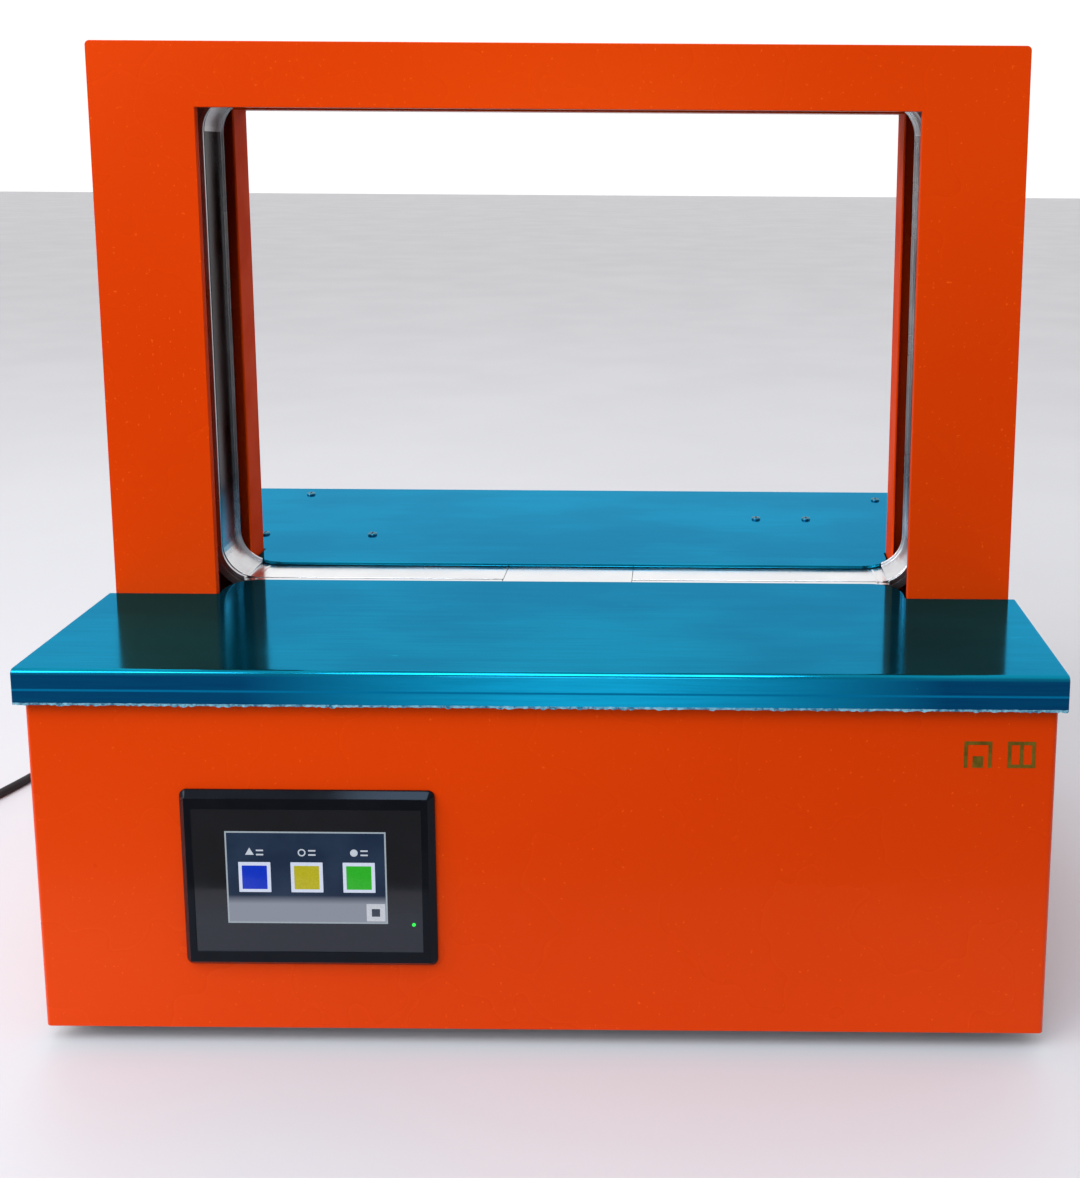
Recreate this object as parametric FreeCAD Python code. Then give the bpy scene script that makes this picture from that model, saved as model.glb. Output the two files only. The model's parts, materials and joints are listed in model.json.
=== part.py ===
"""Bench-top arch banding machine: a sheet-metal base with a fixed arch that carries the tape track.

Frame: millimetres, +X to the operator's right, +Y away from the operator, +Z up. The origin is on the
bench, under the middle of the machine. Every piece is a closed solid in its own STEP file in parts/.
"""
import FreeCAD, Part
import math
import os

Vec = FreeCAD.Vector
X_AXIS, Y_AXIS, Z_AXIS = Vec(1, 0, 0), Vec(0, 1, 0), Vec(0, 0, 1)

# ---------------------------------------------------------------- driving dimensions
# Tables
table_width = 600.0
table_depth = 400.0
table_top = 236.0
table_lip = 21.0
deck_sheet = 2.0
deck_bend = 3.0
tab_rear_y = -42.0             # the front table runs in between the jambs to here
tab_front_y = -4.0             # and the rear deck comes forward to here
tab_corner = 20.0
tab_gap = 1.0                  # between a tab and the jamb beside it
screw_head_radius, screw_head_high, screw_slot = 3.5, 1.6, 0.8

# General fits
sheet = 1.5                    # painted covers and body
fit_gap = 0.3                  # between covers, and round anything that moves
shaft_gap = 0.05               # radial, shaft in its bore
past = 1.0                     # how far a cutter runs past the face that it opens
TINY = 0.01                    # how near a plane an edge must lie to be on it

# Feet, base and body
foot_height = 14.0
foot_radius = 14.0
foot_inset = 36.0
foot_edge = 2.0
body_inset = 4.0               # body side inside the table's side
body_front_inset = 5.0
body_rear_inset = 15.0
body_bottom = 12.0
base_thick = 3.0
body_corner = 3.0
body_flange = 12.0
vent_rows, vent_columns = 6, 2
vent_length, vent_height = 42.0, 4.0
vent_gap, vent_pitch = 10.0, 11.0
vent_y, vent_z = 70.0, 42.0

# Arch covers
arch_top = 595.0
arch_front = -71.0
arch_depth = 98.0
jamb_width = 67.0
beam_height = 41.0
arch_corner = 3.0
front_return = 4.0             # short fold round the front cover's opening
rear_return = 24.0             # deep fold round the rear cover's opening
rear_cover_gap = 0.4           # the rear fold stands this far outside the front one

# Tape track
track_front_y = -38.0
track_width = 39.5
track_recess = 9.5             # the rails' faces lie this far outside the opening
track_drop = 2.5               # the rails' bottom run lies this far under the table's top
track_corner = 24.0
rail_thick = 1.5
rail_lip = 2.0
slit_y = -31.5
slit_width = 1.5
tape_space = 3.0
tape_width = 30.0
tape_centre_y = -18.0

# Portal and its brackets
portal_setback = 8.0           # the portal stands this far in front of the track
portal_thick = 3.0
portal_width = 38.0
portal_head = 15.0
portal_clear = 2.0
portal_foot = 25.0
bracket_thick, bracket_width = 1.5, 24.0
bracket_leg, bracket_rise = 18.0, 16.0
bracket_reach = 12.0           # past the tape's middle
bracket_head_x = (-110.0, 86.0)

# Anvil and its ledges
anvil_length = 89.0
anvil_thick = 3.0
anvil_travel = 38.0
anvil_edge = 0.5
ledge_width = 6.0
bar_height, bar_depth = 5.9, 14.0
bar_front_gap, bar_rear_gap = 19.0, 13.5

# Sealing head and its drive
mech_half_width, mech_plate = 62.0, 4.0
mech_front, mech_rear, mech_top = -60.0, 30.0, 219.0
mech_foot = 12.0
cam_axis_z = 100.0
cam_base, cam_lift, cam_turn = 30.7, 8.0, 150.0
cam_dwell = 20.0               # degrees of rest before and after the lift
cam_steps = 120
cam_width, cam_shaft_radius = 8.0, 6.0
cam_hub = 3.0                  # hub past each face of a cam
cam_roller_radius, cam_pin_radius = 7.0, 2.5
bearing_radius, bearing_width, bearing_inset = 12.0, 8.0, 2.0
follower_pitch, follower_side, head_side = 20.0, 10.0, 15.0
follower_names = ("left_gripper", "cutter", "seal_punch", "right_gripper")
collar_rise, collar_thick, collar_radius = 10.0, 3.0, 9.2
cheek, roller_clear = 2.0, 1.0
block_low, block_high, block_half_depth = 175.0, 205.0, 18.0
head_low, head_high, head_depth = 212.0, 222.0, 26.0
blade_thick, carrier_thick = 1.5, 4.0
punch_edge = 2.0
tooth_rows, tooth_width = 5, 2.0
spring_radius, spring_wire, spring_turns = 8.0, 0.6, 5
coupling_length, coupling_radius, coupling_gap = 26.0, 13.0, 5.0
gearbox_length, gearbox_half, gearbox_edge = 55.0, 30.0, 4.0
motor_length, motor_radius, motor_cap = 80.0, 24.0, 12.0
pedestal_inset, pedestal_wall = 8.0, 4.0

# Tape reel
reel_inset = 105.0             # reel axis inside the table's side
reel_z = 115.0
reel_radius, roll_radius, core_radius, spindle_radius = 88.0, 84.0, 26.0, 6.0
flange_thick, flange_holes, flange_hole_radius = 2.0, 5, 14.0
reel_wall, reel_foot = 4.0, 20.0
reel_wall_left, reel_wall_right = 84.0, 92.0
spindle_past = 24.0            # past the reel's rear flange
nut_radius, nut_flutes, flute_radius, flute_circle = 15.0, 8, 3.0, 16.5

# Feed unit
feed_x, feed_z, feed_radius, pinch_radius = 98.0, 190.0, 14.0, 9.0
nip_gap = 0.4
pinch_pivot_drop = 28.0
dancer_x, dancer_z, dancer_length, dancer_roller_radius = 80.0, 40.0, 45.0, 8.0
guide_radius, guide_z = 6.0, 152.0
feed_wall_y, feed_wall_thick, feed_wall_edge = 4.0, 4.0, 14.0
feed_motor_half, feed_motor_depth = 21.0, 46.0
arm_y0, arm_y1, arm_half = 0.5, 3.5, 4.5
arm_foot_radius, arm_head_radius = 7.0, 5.0
arm_pivot_radius, roller_pin_radius, pin_past = 3.0, 2.5, 3.0

# Touch screen
hmi_centre_x, hmi_centre_z = -135.6, 108.4
hmi_width, hmi_height, hmi_proud = 147.4, 108.8, 5.0
hmi_corner, hmi_bevel = 4.0, 3.6
hmi_cut_width, hmi_cut_height, hmi_depth = 134.0, 92.0, 34.0
screen_width, screen_height = 132.0, 88.0
screen_sink, screen_thick = 0.3, 2.0
housing_slots, housing_slot_pitch, housing_slot_width = 9, 10.0, 4.0

# Rear panel, door and hinges
door_left, door_low, door_high = 94.0, 24.0, 214.0
door_return, door_rim = 7.0, 12.0
door_gap = 1.0
knob_stem, knob_radius, knob_stand, knob_thick, knob_inset = 4.0, 9.0, 6.0, 8.0, 16.0
hinge_radius, hinge_pin_radius, knuckle_length = 3.0, 1.5, 12.0
hinge_leaf, hinge_leaf_length = 1.2, 22.0
knuckle_z = (48.0, 168.0)
louvre_rows, louvre_pitch, louvre_height, louvre_z = 5, 9.0, 4.0, 40.0
louvre_left, louvre_right = -170.0, -110.0

# Fan
fan_x, fan_z, fan_side, fan_depth, fan_blades = -60.0, 115.0, 60.0, 15.0, 7
fan_wall, fan_corner = 3.0, 4.0
fan_axle_radius, fan_hub_radius, spider_radius, spider_width = 1.5, 11.0, 12.0, 3.0
blade_pitch_angle, fan_blade_thick, fan_blade_chord = 28.0, 1.2, 14.0

# Switch
switch_x, switch_z = -250.0, 178.0
switch_half_width, switch_half_height, switch_flange = 15.0, 11.0, 2.0
rocker_tilt, rocker_half, rocker_drop = 9.0, 8.2, 8.0
rocker_outline = [(-rocker_half, 3.5), (-rocker_half, 9.5), (0.0, 7.5), (rocker_half, 9.5),
                  (rocker_half, 3.5), (3.0, -2.0), (-3.0, -2.0)]
trunnion_radius, trunnion_past = 1.5, 1.2

# Electrics
supply_inset, supply_width, supply_height = 10.0, 42.0, 98.0
supply_front, supply_rear = 40.0, 160.0
board_left, board_right, board_front, board_rear = -215.0, -95.0, 70.0, 160.0
board_stand, board_thick, stand_inset, stand_radius = 10.0, 1.6, 5.0, 3.0
# Each block on the board: its place from the board's corner, then its width, depth and height.
board_blocks = [(12, 14, 24, 16, 12), (46, 12, 18, 18, 3), (80, 10, 26, 12, 14),
                (14, 52, 30, 26, 20), (56, 50, 12, 28, 9), (80, 44, 12, 34, 9)]

# Mains lead. Places are measured from the strain relief's tip in X and Y, and from the bench in Z.
cord_diameter = 7.0
gland_x, gland_z, gland_radius = -225.0, 62.0, 8.0
relief_length, relief_nut = 36.0, 5.0
coil_offset_x, coil_offset_y = -320.0, -209.0
coil_radii_low = (31.5, 38.5, 45.5)
coil_radii_high = (35.0, 42.0)
# The lead's route from the strain relief to the coil, one point for each change of direction.
cord_route = [
    (0.0, 0.0, 62.0), (0.0, 21.0, 62.0), (-3.0, 43.0, 52.0), (-9.0, 60.0, 35.0),
    (-20.0, 71.0, 17.0), (-39.0, 76.0, 5.5), (-67.0, 72.5, 3.5), (-102.0, 62.0, 3.5),
    (-137.0, 45.0, 3.5), (-171.0, 19.0, 3.5), (-200.0, -13.0, 3.5), (-223.0, -49.0, 3.5),
    (-238.0, -80.0, 3.5), (-249.0, -110.0, 3.5), (-262.0, -140.0, 3.5), (-271.5, -171.0, 3.5),
    (-274.5, -195.0, 3.5), (-274.5, -209.0, 3.5),
]
# The short end that leaves the coil's top turns for the plug.
tail_route = [
    (-320.0, -251.0, 9.6), (-340.0, -252.0, 10.4), (-360.0, -261.5, 11.6), (-374.5, -278.0, 12.5),
    (-381.0, -299.0, 12.5), (-381.0, -317.0, 12.5),
]
plug_half, plug_length, plug_edge = 14.0, 34.0, 4.0
pin_half_pitch, pin_thick, pin_width, pin_length = 6.35, 1.6, 6.4, 17.0

# ---------------------------------------------------------------- derived planes
half_w = table_width / 2
table_front, table_rear = -table_depth / 2, table_depth / 2
deck_under = table_top - deck_sheet
body_x = half_w - body_inset
body_in_x = body_x - sheet
body_front = table_front + body_front_inset
body_rear = table_rear - body_rear_inset
base_top = foot_height + base_thick
arch_rear = arch_front + arch_depth
arch_x = body_x
open_x = arch_x - jamb_width
open_top = arch_top - beam_height
arch_seam = arch_front + arch_depth / 2
rail_w = open_x + track_recess             # half width between the rails' faces
rail_top = open_top + track_recess
rail_bottom = table_top - track_drop
track_rear_y = track_front_y + track_width
feed_nip_x = feed_x + feed_radius + nip_gap / 2
pinch_x = feed_nip_x + nip_gap / 2 + pinch_radius
tape_low_y, tape_high_y = tape_centre_y - tape_width / 2, tape_centre_y + tape_width / 2
tape_floor = rail_thick + tape_space       # the channel's floor, outwards from the rails' faces
tape_back = tape_floor + rail_thick
portal_y0 = track_front_y - portal_setback
portal_y1 = portal_y0 + portal_thick
anvil_under = rail_bottom - anvil_thick
bar_front_y = track_front_y - bar_front_gap
bar_rear_y = track_rear_y + bar_rear_gap
mech_x = mech_half_width + mech_plate
follower_x = [(i - 1.5) * follower_pitch for i in range(len(follower_names))]
roller_z = cam_axis_z + cam_base + fit_gap + cam_roller_radius
collar_z = roller_z + collar_rise
reel_x = half_w - reel_inset
reel_wall_y = portal_y0 - reel_wall
core_y0 = tape_low_y - flange_thick
spindle_end = tape_high_y + spindle_past
guide_x = feed_nip_x - nip_gap / 2 - guide_radius
pinch_pivot_z = feed_z - pinch_pivot_drop
rear_y = body_rear - sheet
hinge_x, hinge_y = body_in_x - 1.0, body_rear + hinge_radius + 0.5
relief_tip_y = body_rear + relief_length
coil_x, coil_y = gland_x + coil_offset_x, relief_tip_y + coil_offset_y
deck_screw_places = [
    (-half_w + 62.0, table_rear - 22.0), (half_w - 58.0, table_rear - 28.0),
    (-half_w + 60.0, arch_rear + 36.0), (-half_w + 142.0, arch_rear + 36.0),
    (half_w - 162.0, arch_rear + 86.0), (half_w - 122.0, arch_rear + 86.0),
]

saved = []


# ---------------------------------------------------------------- helpers
def box(x0, x1, y0, y1, z0, z1):
    return Part.makeBox(x1 - x0, y1 - y0, z1 - z0, Vec(x0, y0, z0))


def rod(axis, radius, start, length):
    """A cylinder of this length along an axis, from the point start."""
    return Part.makeCylinder(radius, length, Vec(*start), axis)


def ring(axis, outer, inner, start, length):
    return rod(axis, outer, start, length).cut(rod(axis, inner, start, length))


def joined(first, *others):
    shape = first
    for other in others:
        shape = shape.fuse(other)
    return shape.removeSplitter()


def mirrored(shape):
    return shape.mirror(Vec(0, 0, 0), X_AXIS)


def both_sides(inner, outer, *rest):
    """A pair of boxes between inner and outer, on either side of the middle plane."""
    right = box(inner, outer, *rest)
    return [mirrored(right), right]


def around(centre, radius, count):
    """Places spaced evenly on a circle in the XZ plane."""
    turns = [2 * math.pi * i / count for i in range(count)]
    return [(centre[0] + radius * math.cos(a), centre[1] + radius * math.sin(a)) for a in turns]


def edges_along(shape, axis, keep):
    """The straight edges parallel to axis whose middle passes the test keep."""
    found = []
    for edge in shape.Edges:
        if not isinstance(edge.Curve, Part.Line):
            continue
        run = edge.Vertexes[-1].Point - edge.Vertexes[0].Point
        if run.Length > 0 and abs(run.dot(axis)) > 0.999 * run.Length and keep(edge.CenterOfMass):
            found.append(edge)
    return found


def save(name, shape):
    """Writes a node, after checking that each of its solids is closed and valid."""
    solids = shape.Solids
    if not solids or not all(s.isValid() and s.isClosed() for s in solids):
        raise ValueError(name + " is not made of closed, valid solids")
    body = solids[0] if len(solids) == 1 else Part.makeCompound(solids)
    body.exportStep("parts/" + name + ".step")
    saved.append((name, len(solids), sum(s.Volume for s in solids)))


# ---------------------------------------------------------------- base and body
def make_feet():
    feet = []
    for x in (-half_w + foot_inset, half_w - foot_inset):
        for y in (table_front + foot_inset, body_rear - foot_inset + sheet):
            pad = rod(Z_AXIS, foot_radius, (x, y, 0), foot_height)
            lower = [e for e in pad.Edges if abs(e.BoundBox.ZMax) < TINY]
            feet.append(pad.makeFillet(foot_edge, lower))
    save("feet", Part.makeCompound(feet))


def make_base_plate():
    save("base_plate", box(-body_in_x, body_in_x, body_front + sheet, body_rear - sheet,
                           foot_height, base_top))


def body_flanges():
    """Flanges turned in under the tables: one along the front and two along each side."""
    low = deck_under - sheet
    front = body_front + sheet
    flanges = [box(-body_in_x, body_in_x, front, front + body_flange, low, deck_under)]
    for y0, y1 in ((front, arch_front - fit_gap), (arch_rear + fit_gap, body_rear - sheet)):
        flanges += both_sides(body_in_x - body_flange, body_in_x, y0, y1, low, deck_under)
    return flanges


def vent_slots():
    slots = []
    for row in range(vent_rows):
        for column in range(vent_columns):
            y = vent_y + column * (vent_length + vent_gap)
            z = vent_z + row * vent_pitch
            slots.append(box(-half_w, half_w, y, y + vent_length, z, z + vent_height))
    return Part.makeCompound(slots)


def make_body_shell():
    """Front and sides folded from one sheet, with a flange under each table and the screen's cut-out."""
    outer = box(-body_x, body_x, body_front, body_rear, body_bottom, deck_under)
    outer = outer.makeFillet(body_corner, edges_along(outer, Z_AXIS, lambda p: p.y < 0))
    inner = box(-body_in_x, body_in_x, body_front + sheet, body_rear + past, body_bottom - past,
                deck_under + past)
    shell = joined(outer.cut(inner), *body_flanges())
    cut_x = hmi_centre_x - hmi_cut_width / 2
    cut_z = hmi_centre_z - hmi_cut_height / 2
    window = box(cut_x, cut_x + hmi_cut_width, body_front - past, body_front + sheet + past,
                 cut_z, cut_z + hmi_cut_height)
    save("body_shell", shell.cut(window).cut(vent_slots()))


def table_far(edge_y):
    return table_front if edge_y < 0 else table_rear


def deck_outline(edge_y, tab_y):
    """A table seen from above: full width behind edge_y, and a rounded tab between the jambs to tab_y."""
    full_y = sorted((edge_y, table_far(edge_y)))
    full = box(-half_w, half_w, full_y[0], full_y[1], deck_under, table_top)
    tab_x = open_x - tab_gap
    tab = box(-tab_x, tab_x, min(edge_y, tab_y), max(edge_y, tab_y), deck_under, table_top)
    tab = tab.makeFillet(tab_corner, edges_along(tab, Z_AXIS, lambda p: abs(p.y - tab_y) < TINY))
    return full.fuse(tab)


def make_deck(name, edge_y, tab_y):
    """A flat table with lips turned down at its outer edge and sides."""
    far = table_far(edge_y)
    away = -1 if far < 0 else 1
    low = table_top - table_lip
    skirt_y = sorted((far, far - away * deck_sheet))
    side_y = sorted((far, edge_y))
    lips = [box(-half_w, half_w, skirt_y[0], skirt_y[1], low, table_top)]
    lips += both_sides(half_w - deck_sheet, half_w, side_y[0], side_y[1], low, table_top)
    shape = joined(deck_outline(edge_y, tab_y), *lips)
    bends = edges_along(shape, X_AXIS, lambda p: abs(p.y - far) < TINY and abs(p.z - table_top) < TINY)
    save(name, shape.makeFillet(deck_bend, bends))


def make_deck_screws():
    """Pan-head cross-slot screws that hold the rear deck down."""
    screws = []
    for x, y in deck_screw_places:
        head = rod(Z_AXIS, screw_head_radius, (x, y, table_top), screw_head_high)
        rim = [e for e in head.Edges if e.BoundBox.ZMin > table_top + screw_head_high - TINY]
        head = head.makeFillet(screw_head_high / 1.6, rim)
        half, arm = screw_slot / 2, screw_head_radius - 1.1
        slot_z = table_top + screw_head_high / 2
        for dx, dy in ((arm, half), (half, arm)):
            head = head.cut(box(x - dx, x + dx, y - dy, y + dy, slot_z, table_top + 2 * past))
        screws.append(head)
    save("deck_screws", Part.makeCompound(screws))


# ---------------------------------------------------------------- arch covers
def portal(width, top, y0, y1, z0):
    return box(-width, width, y0, y1, z0, top)


def cover_block(y0, y1):
    """The arch's outside, rounded along its edges over the table."""
    block = portal(arch_x, arch_top, y0, y1, deck_under)
    return block.makeFillet(arch_corner, edges_along(block, Y_AXIS, lambda p: p.z > table_top))


def make_arch_front_cover():
    y0, y1 = arch_front, arch_seam - fit_gap / 2
    hollow = portal(arch_x - sheet, arch_top - sheet, y0 + sheet, y1 + past, deck_under - past)
    opening = portal(open_x, open_top, y0 - past, y1 + past, deck_under - past)
    shell = cover_block(y0, y1).cut(hollow).cut(opening)
    fold = portal(open_x + sheet, open_top + sheet, y0, y0 + sheet + front_return, deck_under)
    save("arch_front_cover", joined(shell, fold.cut(opening)))


def make_arch_rear_cover():
    y0, y1 = arch_seam + fit_gap / 2, arch_rear
    inside_x, inside_top = open_x + rear_cover_gap, open_top + rear_cover_gap
    hollow = portal(arch_x - sheet, arch_top - sheet, y0 - past, y1 - sheet, deck_under - past)
    opening = portal(inside_x, inside_top, y0 - past, y1 + past, deck_under - past)
    shell = cover_block(y0, y1).cut(hollow).cut(opening)
    fold = portal(inside_x + sheet, inside_top + sheet, y1 - sheet - rear_return, y1, deck_under)
    save("arch_rear_cover", joined(shell, fold.cut(opening)))


# ---------------------------------------------------------------- portal and tape track
def loop_solid(offset, y0, y1):
    """A rounded rectangle, offset outwards from the rails' faces, as a solid between two Y planes."""
    solid = box(-rail_w - offset, rail_w + offset, y0, y1, rail_bottom - offset, rail_top + offset)
    return solid.makeFillet(track_corner + offset, edges_along(solid, Y_AXIS, lambda p: True))


def loop_strip(inner_offset, outer_offset, y0, y1):
    return loop_solid(outer_offset, y0, y1).cut(loop_solid(inner_offset, y0 - past, y1 + past))


def head_opening():
    """What the anvil and the sealing head take out of the track's bottom run."""
    half = anvil_length / 2 + fit_gap
    return box(-half, half, track_front_y - past, track_rear_y + past, rail_bottom - 2 * tape_back,
               rail_bottom + track_corner / 2)


def bottom_lips():
    """The lips along the bottom run, which would stand over the tables, between the corners."""
    half = open_x - 7.0
    return box(-half, half, track_front_y - past, track_rear_y + past, rail_bottom + shaft_gap,
               rail_bottom + track_corner / 2)


def make_rail(name, y0, y1, lip_y0, lip_y1):
    face = loop_strip(0, rail_thick, y0, y1)
    lip = loop_strip(-rail_lip, 0, lip_y0, lip_y1)
    save(name, joined(face, lip).cut(head_opening()).cut(bottom_lips()))


def make_track():
    """Two rails with a slit between them, and the channel behind them that the tape is fed round in."""
    front, rear = track_front_y, track_rear_y
    make_rail("track_front_rail", front, slit_y, front, front + rail_thick)
    make_rail("track_rear_rail", slit_y + slit_width, rear, rear - rail_thick, rear)
    channel = loop_strip(tape_floor, tape_back, front, rear)
    front_wall = loop_strip(rail_thick, tape_floor, front, front + rail_thick)
    rear_wall = loop_strip(rail_thick, tape_floor, rear - rail_thick, rear)
    entry = box(anvil_length / 2, feed_nip_x + 10, front - past, rear + past,
                rail_bottom - 2 * tape_back, rail_bottom - rail_thick)
    channel = joined(channel, front_wall, rear_wall)
    save("track_channel", channel.cut(head_opening()).cut(entry))


def make_arch_frame():
    """The load-bearing portal: two legs that stand on the base plate, joined over the track."""
    inner_x, inner_z = rail_w + tape_back + portal_clear, rail_top + tape_back + portal_clear
    outer_x = inner_x + portal_width
    outer = portal(outer_x, inner_z + portal_head, portal_y0, portal_y1, base_top)
    inner = portal(inner_x, inner_z, portal_y0 - past, portal_y1 + past, base_top - past)
    feet = both_sides(inner_x, outer_x, portal_y1, portal_y1 + portal_foot, base_top,
                      base_top + portal_thick)
    save("arch_frame", joined(outer.cut(inner), *feet))


def make_track_brackets():
    """Small angles that hold the channel's back to the portal, three up each side and two on top."""
    reach = tape_centre_y + bracket_reach
    brackets = []
    x = rail_w + tape_back
    for z in (rail_bottom + 70, (rail_bottom + rail_top) / 2, rail_top - 60):
        leaf = box(x, x + bracket_thick, portal_y1, reach, z, z + bracket_width)
        tab = box(x, x + bracket_leg, portal_y1, portal_y1 + bracket_thick, z, z + bracket_width)
        angle = joined(leaf, tab)
        brackets += [mirrored(angle), angle]
    z = rail_top + tape_back
    for x in bracket_head_x:
        leaf = box(x, x + bracket_width, portal_y1, reach, z, z + bracket_thick)
        tab = box(x, x + bracket_width, portal_y1, portal_y1 + bracket_thick, z, z + bracket_rise)
        brackets.append(joined(leaf, tab))
    save("track_brackets", Part.makeCompound(brackets))


# ---------------------------------------------------------------- anvil and sealing head
def make_anvil():
    """The sliding plate that the tape is sealed against, and the ledges and cross bars that it runs on."""
    x = anvil_length / 2
    plate = box(-x, x, track_front_y, track_rear_y, anvil_under, rail_bottom)
    upper = edges_along(plate, X_AXIS, lambda p: p.z > rail_bottom - TINY)
    save("anvil_plate", plate.makeChamfer(anvil_edge, upper))
    bar_top = mech_top + bar_height
    parts = both_sides(x - fit_gap - ledge_width, x - fit_gap, bar_front_y,
                       track_rear_y + anvil_travel, bar_top, anvil_under - fit_gap)
    for y in (bar_front_y, bar_rear_y):
        parts.append(box(-mech_x, mech_x, y, y + bar_depth, mech_top, bar_top))
    save("anvil_guides", joined(*parts))


def make_mech_plates():
    """Two upright plates with turned-out feet, bored for the camshaft's bearings."""
    upright = box(mech_half_width, mech_x, mech_front, mech_rear, base_top, mech_top)
    foot = box(mech_x, mech_x + mech_foot, mech_front, mech_rear, base_top, base_top + mech_plate)
    bore = rod(X_AXIS, bearing_radius, (mech_half_width - past, tape_centre_y, cam_axis_z),
               mech_plate + 2 * past)
    plate = joined(upright, foot).cut(bore)
    save("mech_plates", Part.makeCompound([mirrored(plate), plate]))


def make_guide_block():
    block = box(-mech_half_width, mech_half_width, tape_centre_y - block_half_depth,
                tape_centre_y + block_half_depth, block_low, block_high)
    half = follower_side / 2 + fit_gap
    for x in follower_x:
        block = block.cut(box(x - half, x + half, tape_centre_y - half, tape_centre_y + half,
                              block_low - past, block_high + past))
    save("guide_block", block)


def cam_radius(turned):
    """The cam's radius, by the angle that has gone past its follower, in degrees."""
    if turned < 0:
        return cam_base
    if turned < cam_turn:
        return cam_base + cam_lift * turned / cam_turn
    if turned < cam_turn + cam_dwell:
        return cam_base + cam_lift
    back = (turned - cam_turn - cam_dwell) / (360.0 - cam_turn - 2 * cam_dwell)
    return cam_base + cam_lift * (1 + math.cos(math.pi * back)) / 2


def cam_outline(x):
    """Radius grows evenly with angle over the working turn, rests at both ends, and falls back."""
    points = []
    for i in range(cam_steps):
        turned = 360.0 * i / cam_steps - cam_dwell
        a = math.radians(90.0 - turned)
        radius = cam_radius(turned)
        points.append(Vec(x, tape_centre_y + radius * math.cos(a), cam_axis_z + radius * math.sin(a)))
    curve = Part.BSplineCurve()
    curve.interpolate(Points=points, PeriodicFlag=True)
    return Part.Face(Part.Wire(curve.toShape()))


def on_cam_axis(radius, x, length):
    return rod(X_AXIS, radius, (x, tape_centre_y, cam_axis_z), length)


def make_camshaft():
    """The shaft, its four cams, its two bearings and the coupling to the gear motor."""
    left = -mech_x - coupling_length
    shaft_left = left + bearing_inset
    save("camshaft", on_cam_axis(cam_shaft_radius, shaft_left, mech_x + 6 - shaft_left))
    cams = []
    for x in follower_x:
        disc = cam_outline(x - cam_width / 2).extrude(Vec(cam_width, 0, 0))
        hub = on_cam_axis(2 * cam_shaft_radius, x - cam_width / 2 - cam_hub, cam_width + 2 * cam_hub)
        cams.append(disc.fuse(hub).cut(on_cam_axis(cam_shaft_radius, x - cam_width, 2 * cam_width)))
    save("cams", Part.makeCompound(cams))
    bearings = []
    for x in (-mech_x + bearing_inset, mech_x - bearing_inset):
        bearings.append(ring(X_AXIS, bearing_radius, cam_shaft_radius + shaft_gap,
                             (x - bearing_width / 2, tape_centre_y, cam_axis_z), bearing_width))
    save("shaft_bearings", Part.makeCompound(bearings))
    hub = on_cam_axis(coupling_radius, left, coupling_length - coupling_gap)
    hub = hub.cut(on_cam_axis(cam_shaft_radius, shaft_left, coupling_length))
    middle = left + (coupling_length - coupling_gap) / 2 - past
    groove = box(middle - 0.5, middle + 0.5, tape_centre_y - coupling_radius,
                 tape_centre_y + coupling_radius, cam_axis_z + coupling_radius - 3,
                 cam_axis_z + coupling_radius + past)
    save("shaft_coupling", hub.cut(groove))


def make_gearmotor():
    right = -mech_x - coupling_length - 0.5
    left = right - gearbox_length
    y0, y1 = tape_centre_y - gearbox_half, tape_centre_y + gearbox_half
    under = cam_axis_z - gearbox_half
    gearbox = box(left, right, y0, y1, under, cam_axis_z + gearbox_half)
    gearbox = gearbox.makeFillet(gearbox_edge, edges_along(gearbox, X_AXIS, lambda p: True))
    can = on_cam_axis(motor_radius, left - motor_length, motor_length)
    cap = on_cam_axis(motor_radius + 2, left - motor_length, motor_cap)
    x0, x1 = left + pedestal_inset, right - pedestal_inset
    hollow = box(x0 + pedestal_wall, x1 - pedestal_wall, y0 - past, y1 + past,
                 base_top + pedestal_wall, under - pedestal_wall)
    pedestal = box(x0, x1, y0, y1, base_top, under).cut(hollow)
    save("cam_gearmotor", joined(gearbox, can, cap, pedestal))


def follower_head(name, x):
    """The tool on top of a follower: a blade, a plain heated punch, or a toothed gripper."""
    y0, y1 = tape_centre_y - head_depth / 2, tape_centre_y + head_depth / 2
    half = head_side / 2
    if name == "cutter":
        carrier = box(x - half, x + half, y0, y1, head_low, head_low + carrier_thick)
        return carrier.fuse(box(x - blade_thick / 2, x + blade_thick / 2, y0, y1,
                                head_low + carrier_thick, head_high))
    head = box(x - half, x + half, y0, y1, head_low, head_high)
    if name == "seal_punch":
        return head.makeChamfer(punch_edge, edges_along(head, Y_AXIS, lambda p: p.z > head_high - TINY))
    for i in range(tooth_rows):
        y = y0 + head_depth * (i + 0.75) / (tooth_rows + 0.5)
        head = head.cut(box(x - half - past, x + half + past, y, y + tooth_width, head_high - 1,
                            head_high + past))
    return head


def follower_body(x):
    """A square bar with a collar for its spring and a fork for its roller."""
    half = follower_side / 2
    y0, y1 = tape_centre_y - half, tape_centre_y + half
    fork_top = roller_z + cam_roller_radius + roller_clear
    inner = cam_width / 2 + fit_gap * 2
    outer = inner + cheek
    parts = [box(x - half, x + half, y0, y1, fork_top, head_low),
             rod(Z_AXIS, collar_radius, (x, tape_centre_y, collar_z), collar_thick),
             rod(X_AXIS, cam_pin_radius, (x - outer, tape_centre_y, roller_z), 2 * outer),
             box(x - outer, x + outer, y0, y1, fork_top, collar_z)]
    for cheek_x in (x - outer, x + inner):
        parts.append(box(cheek_x, cheek_x + cheek, y0, y1, roller_z - half, collar_z))
    return parts


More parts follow.
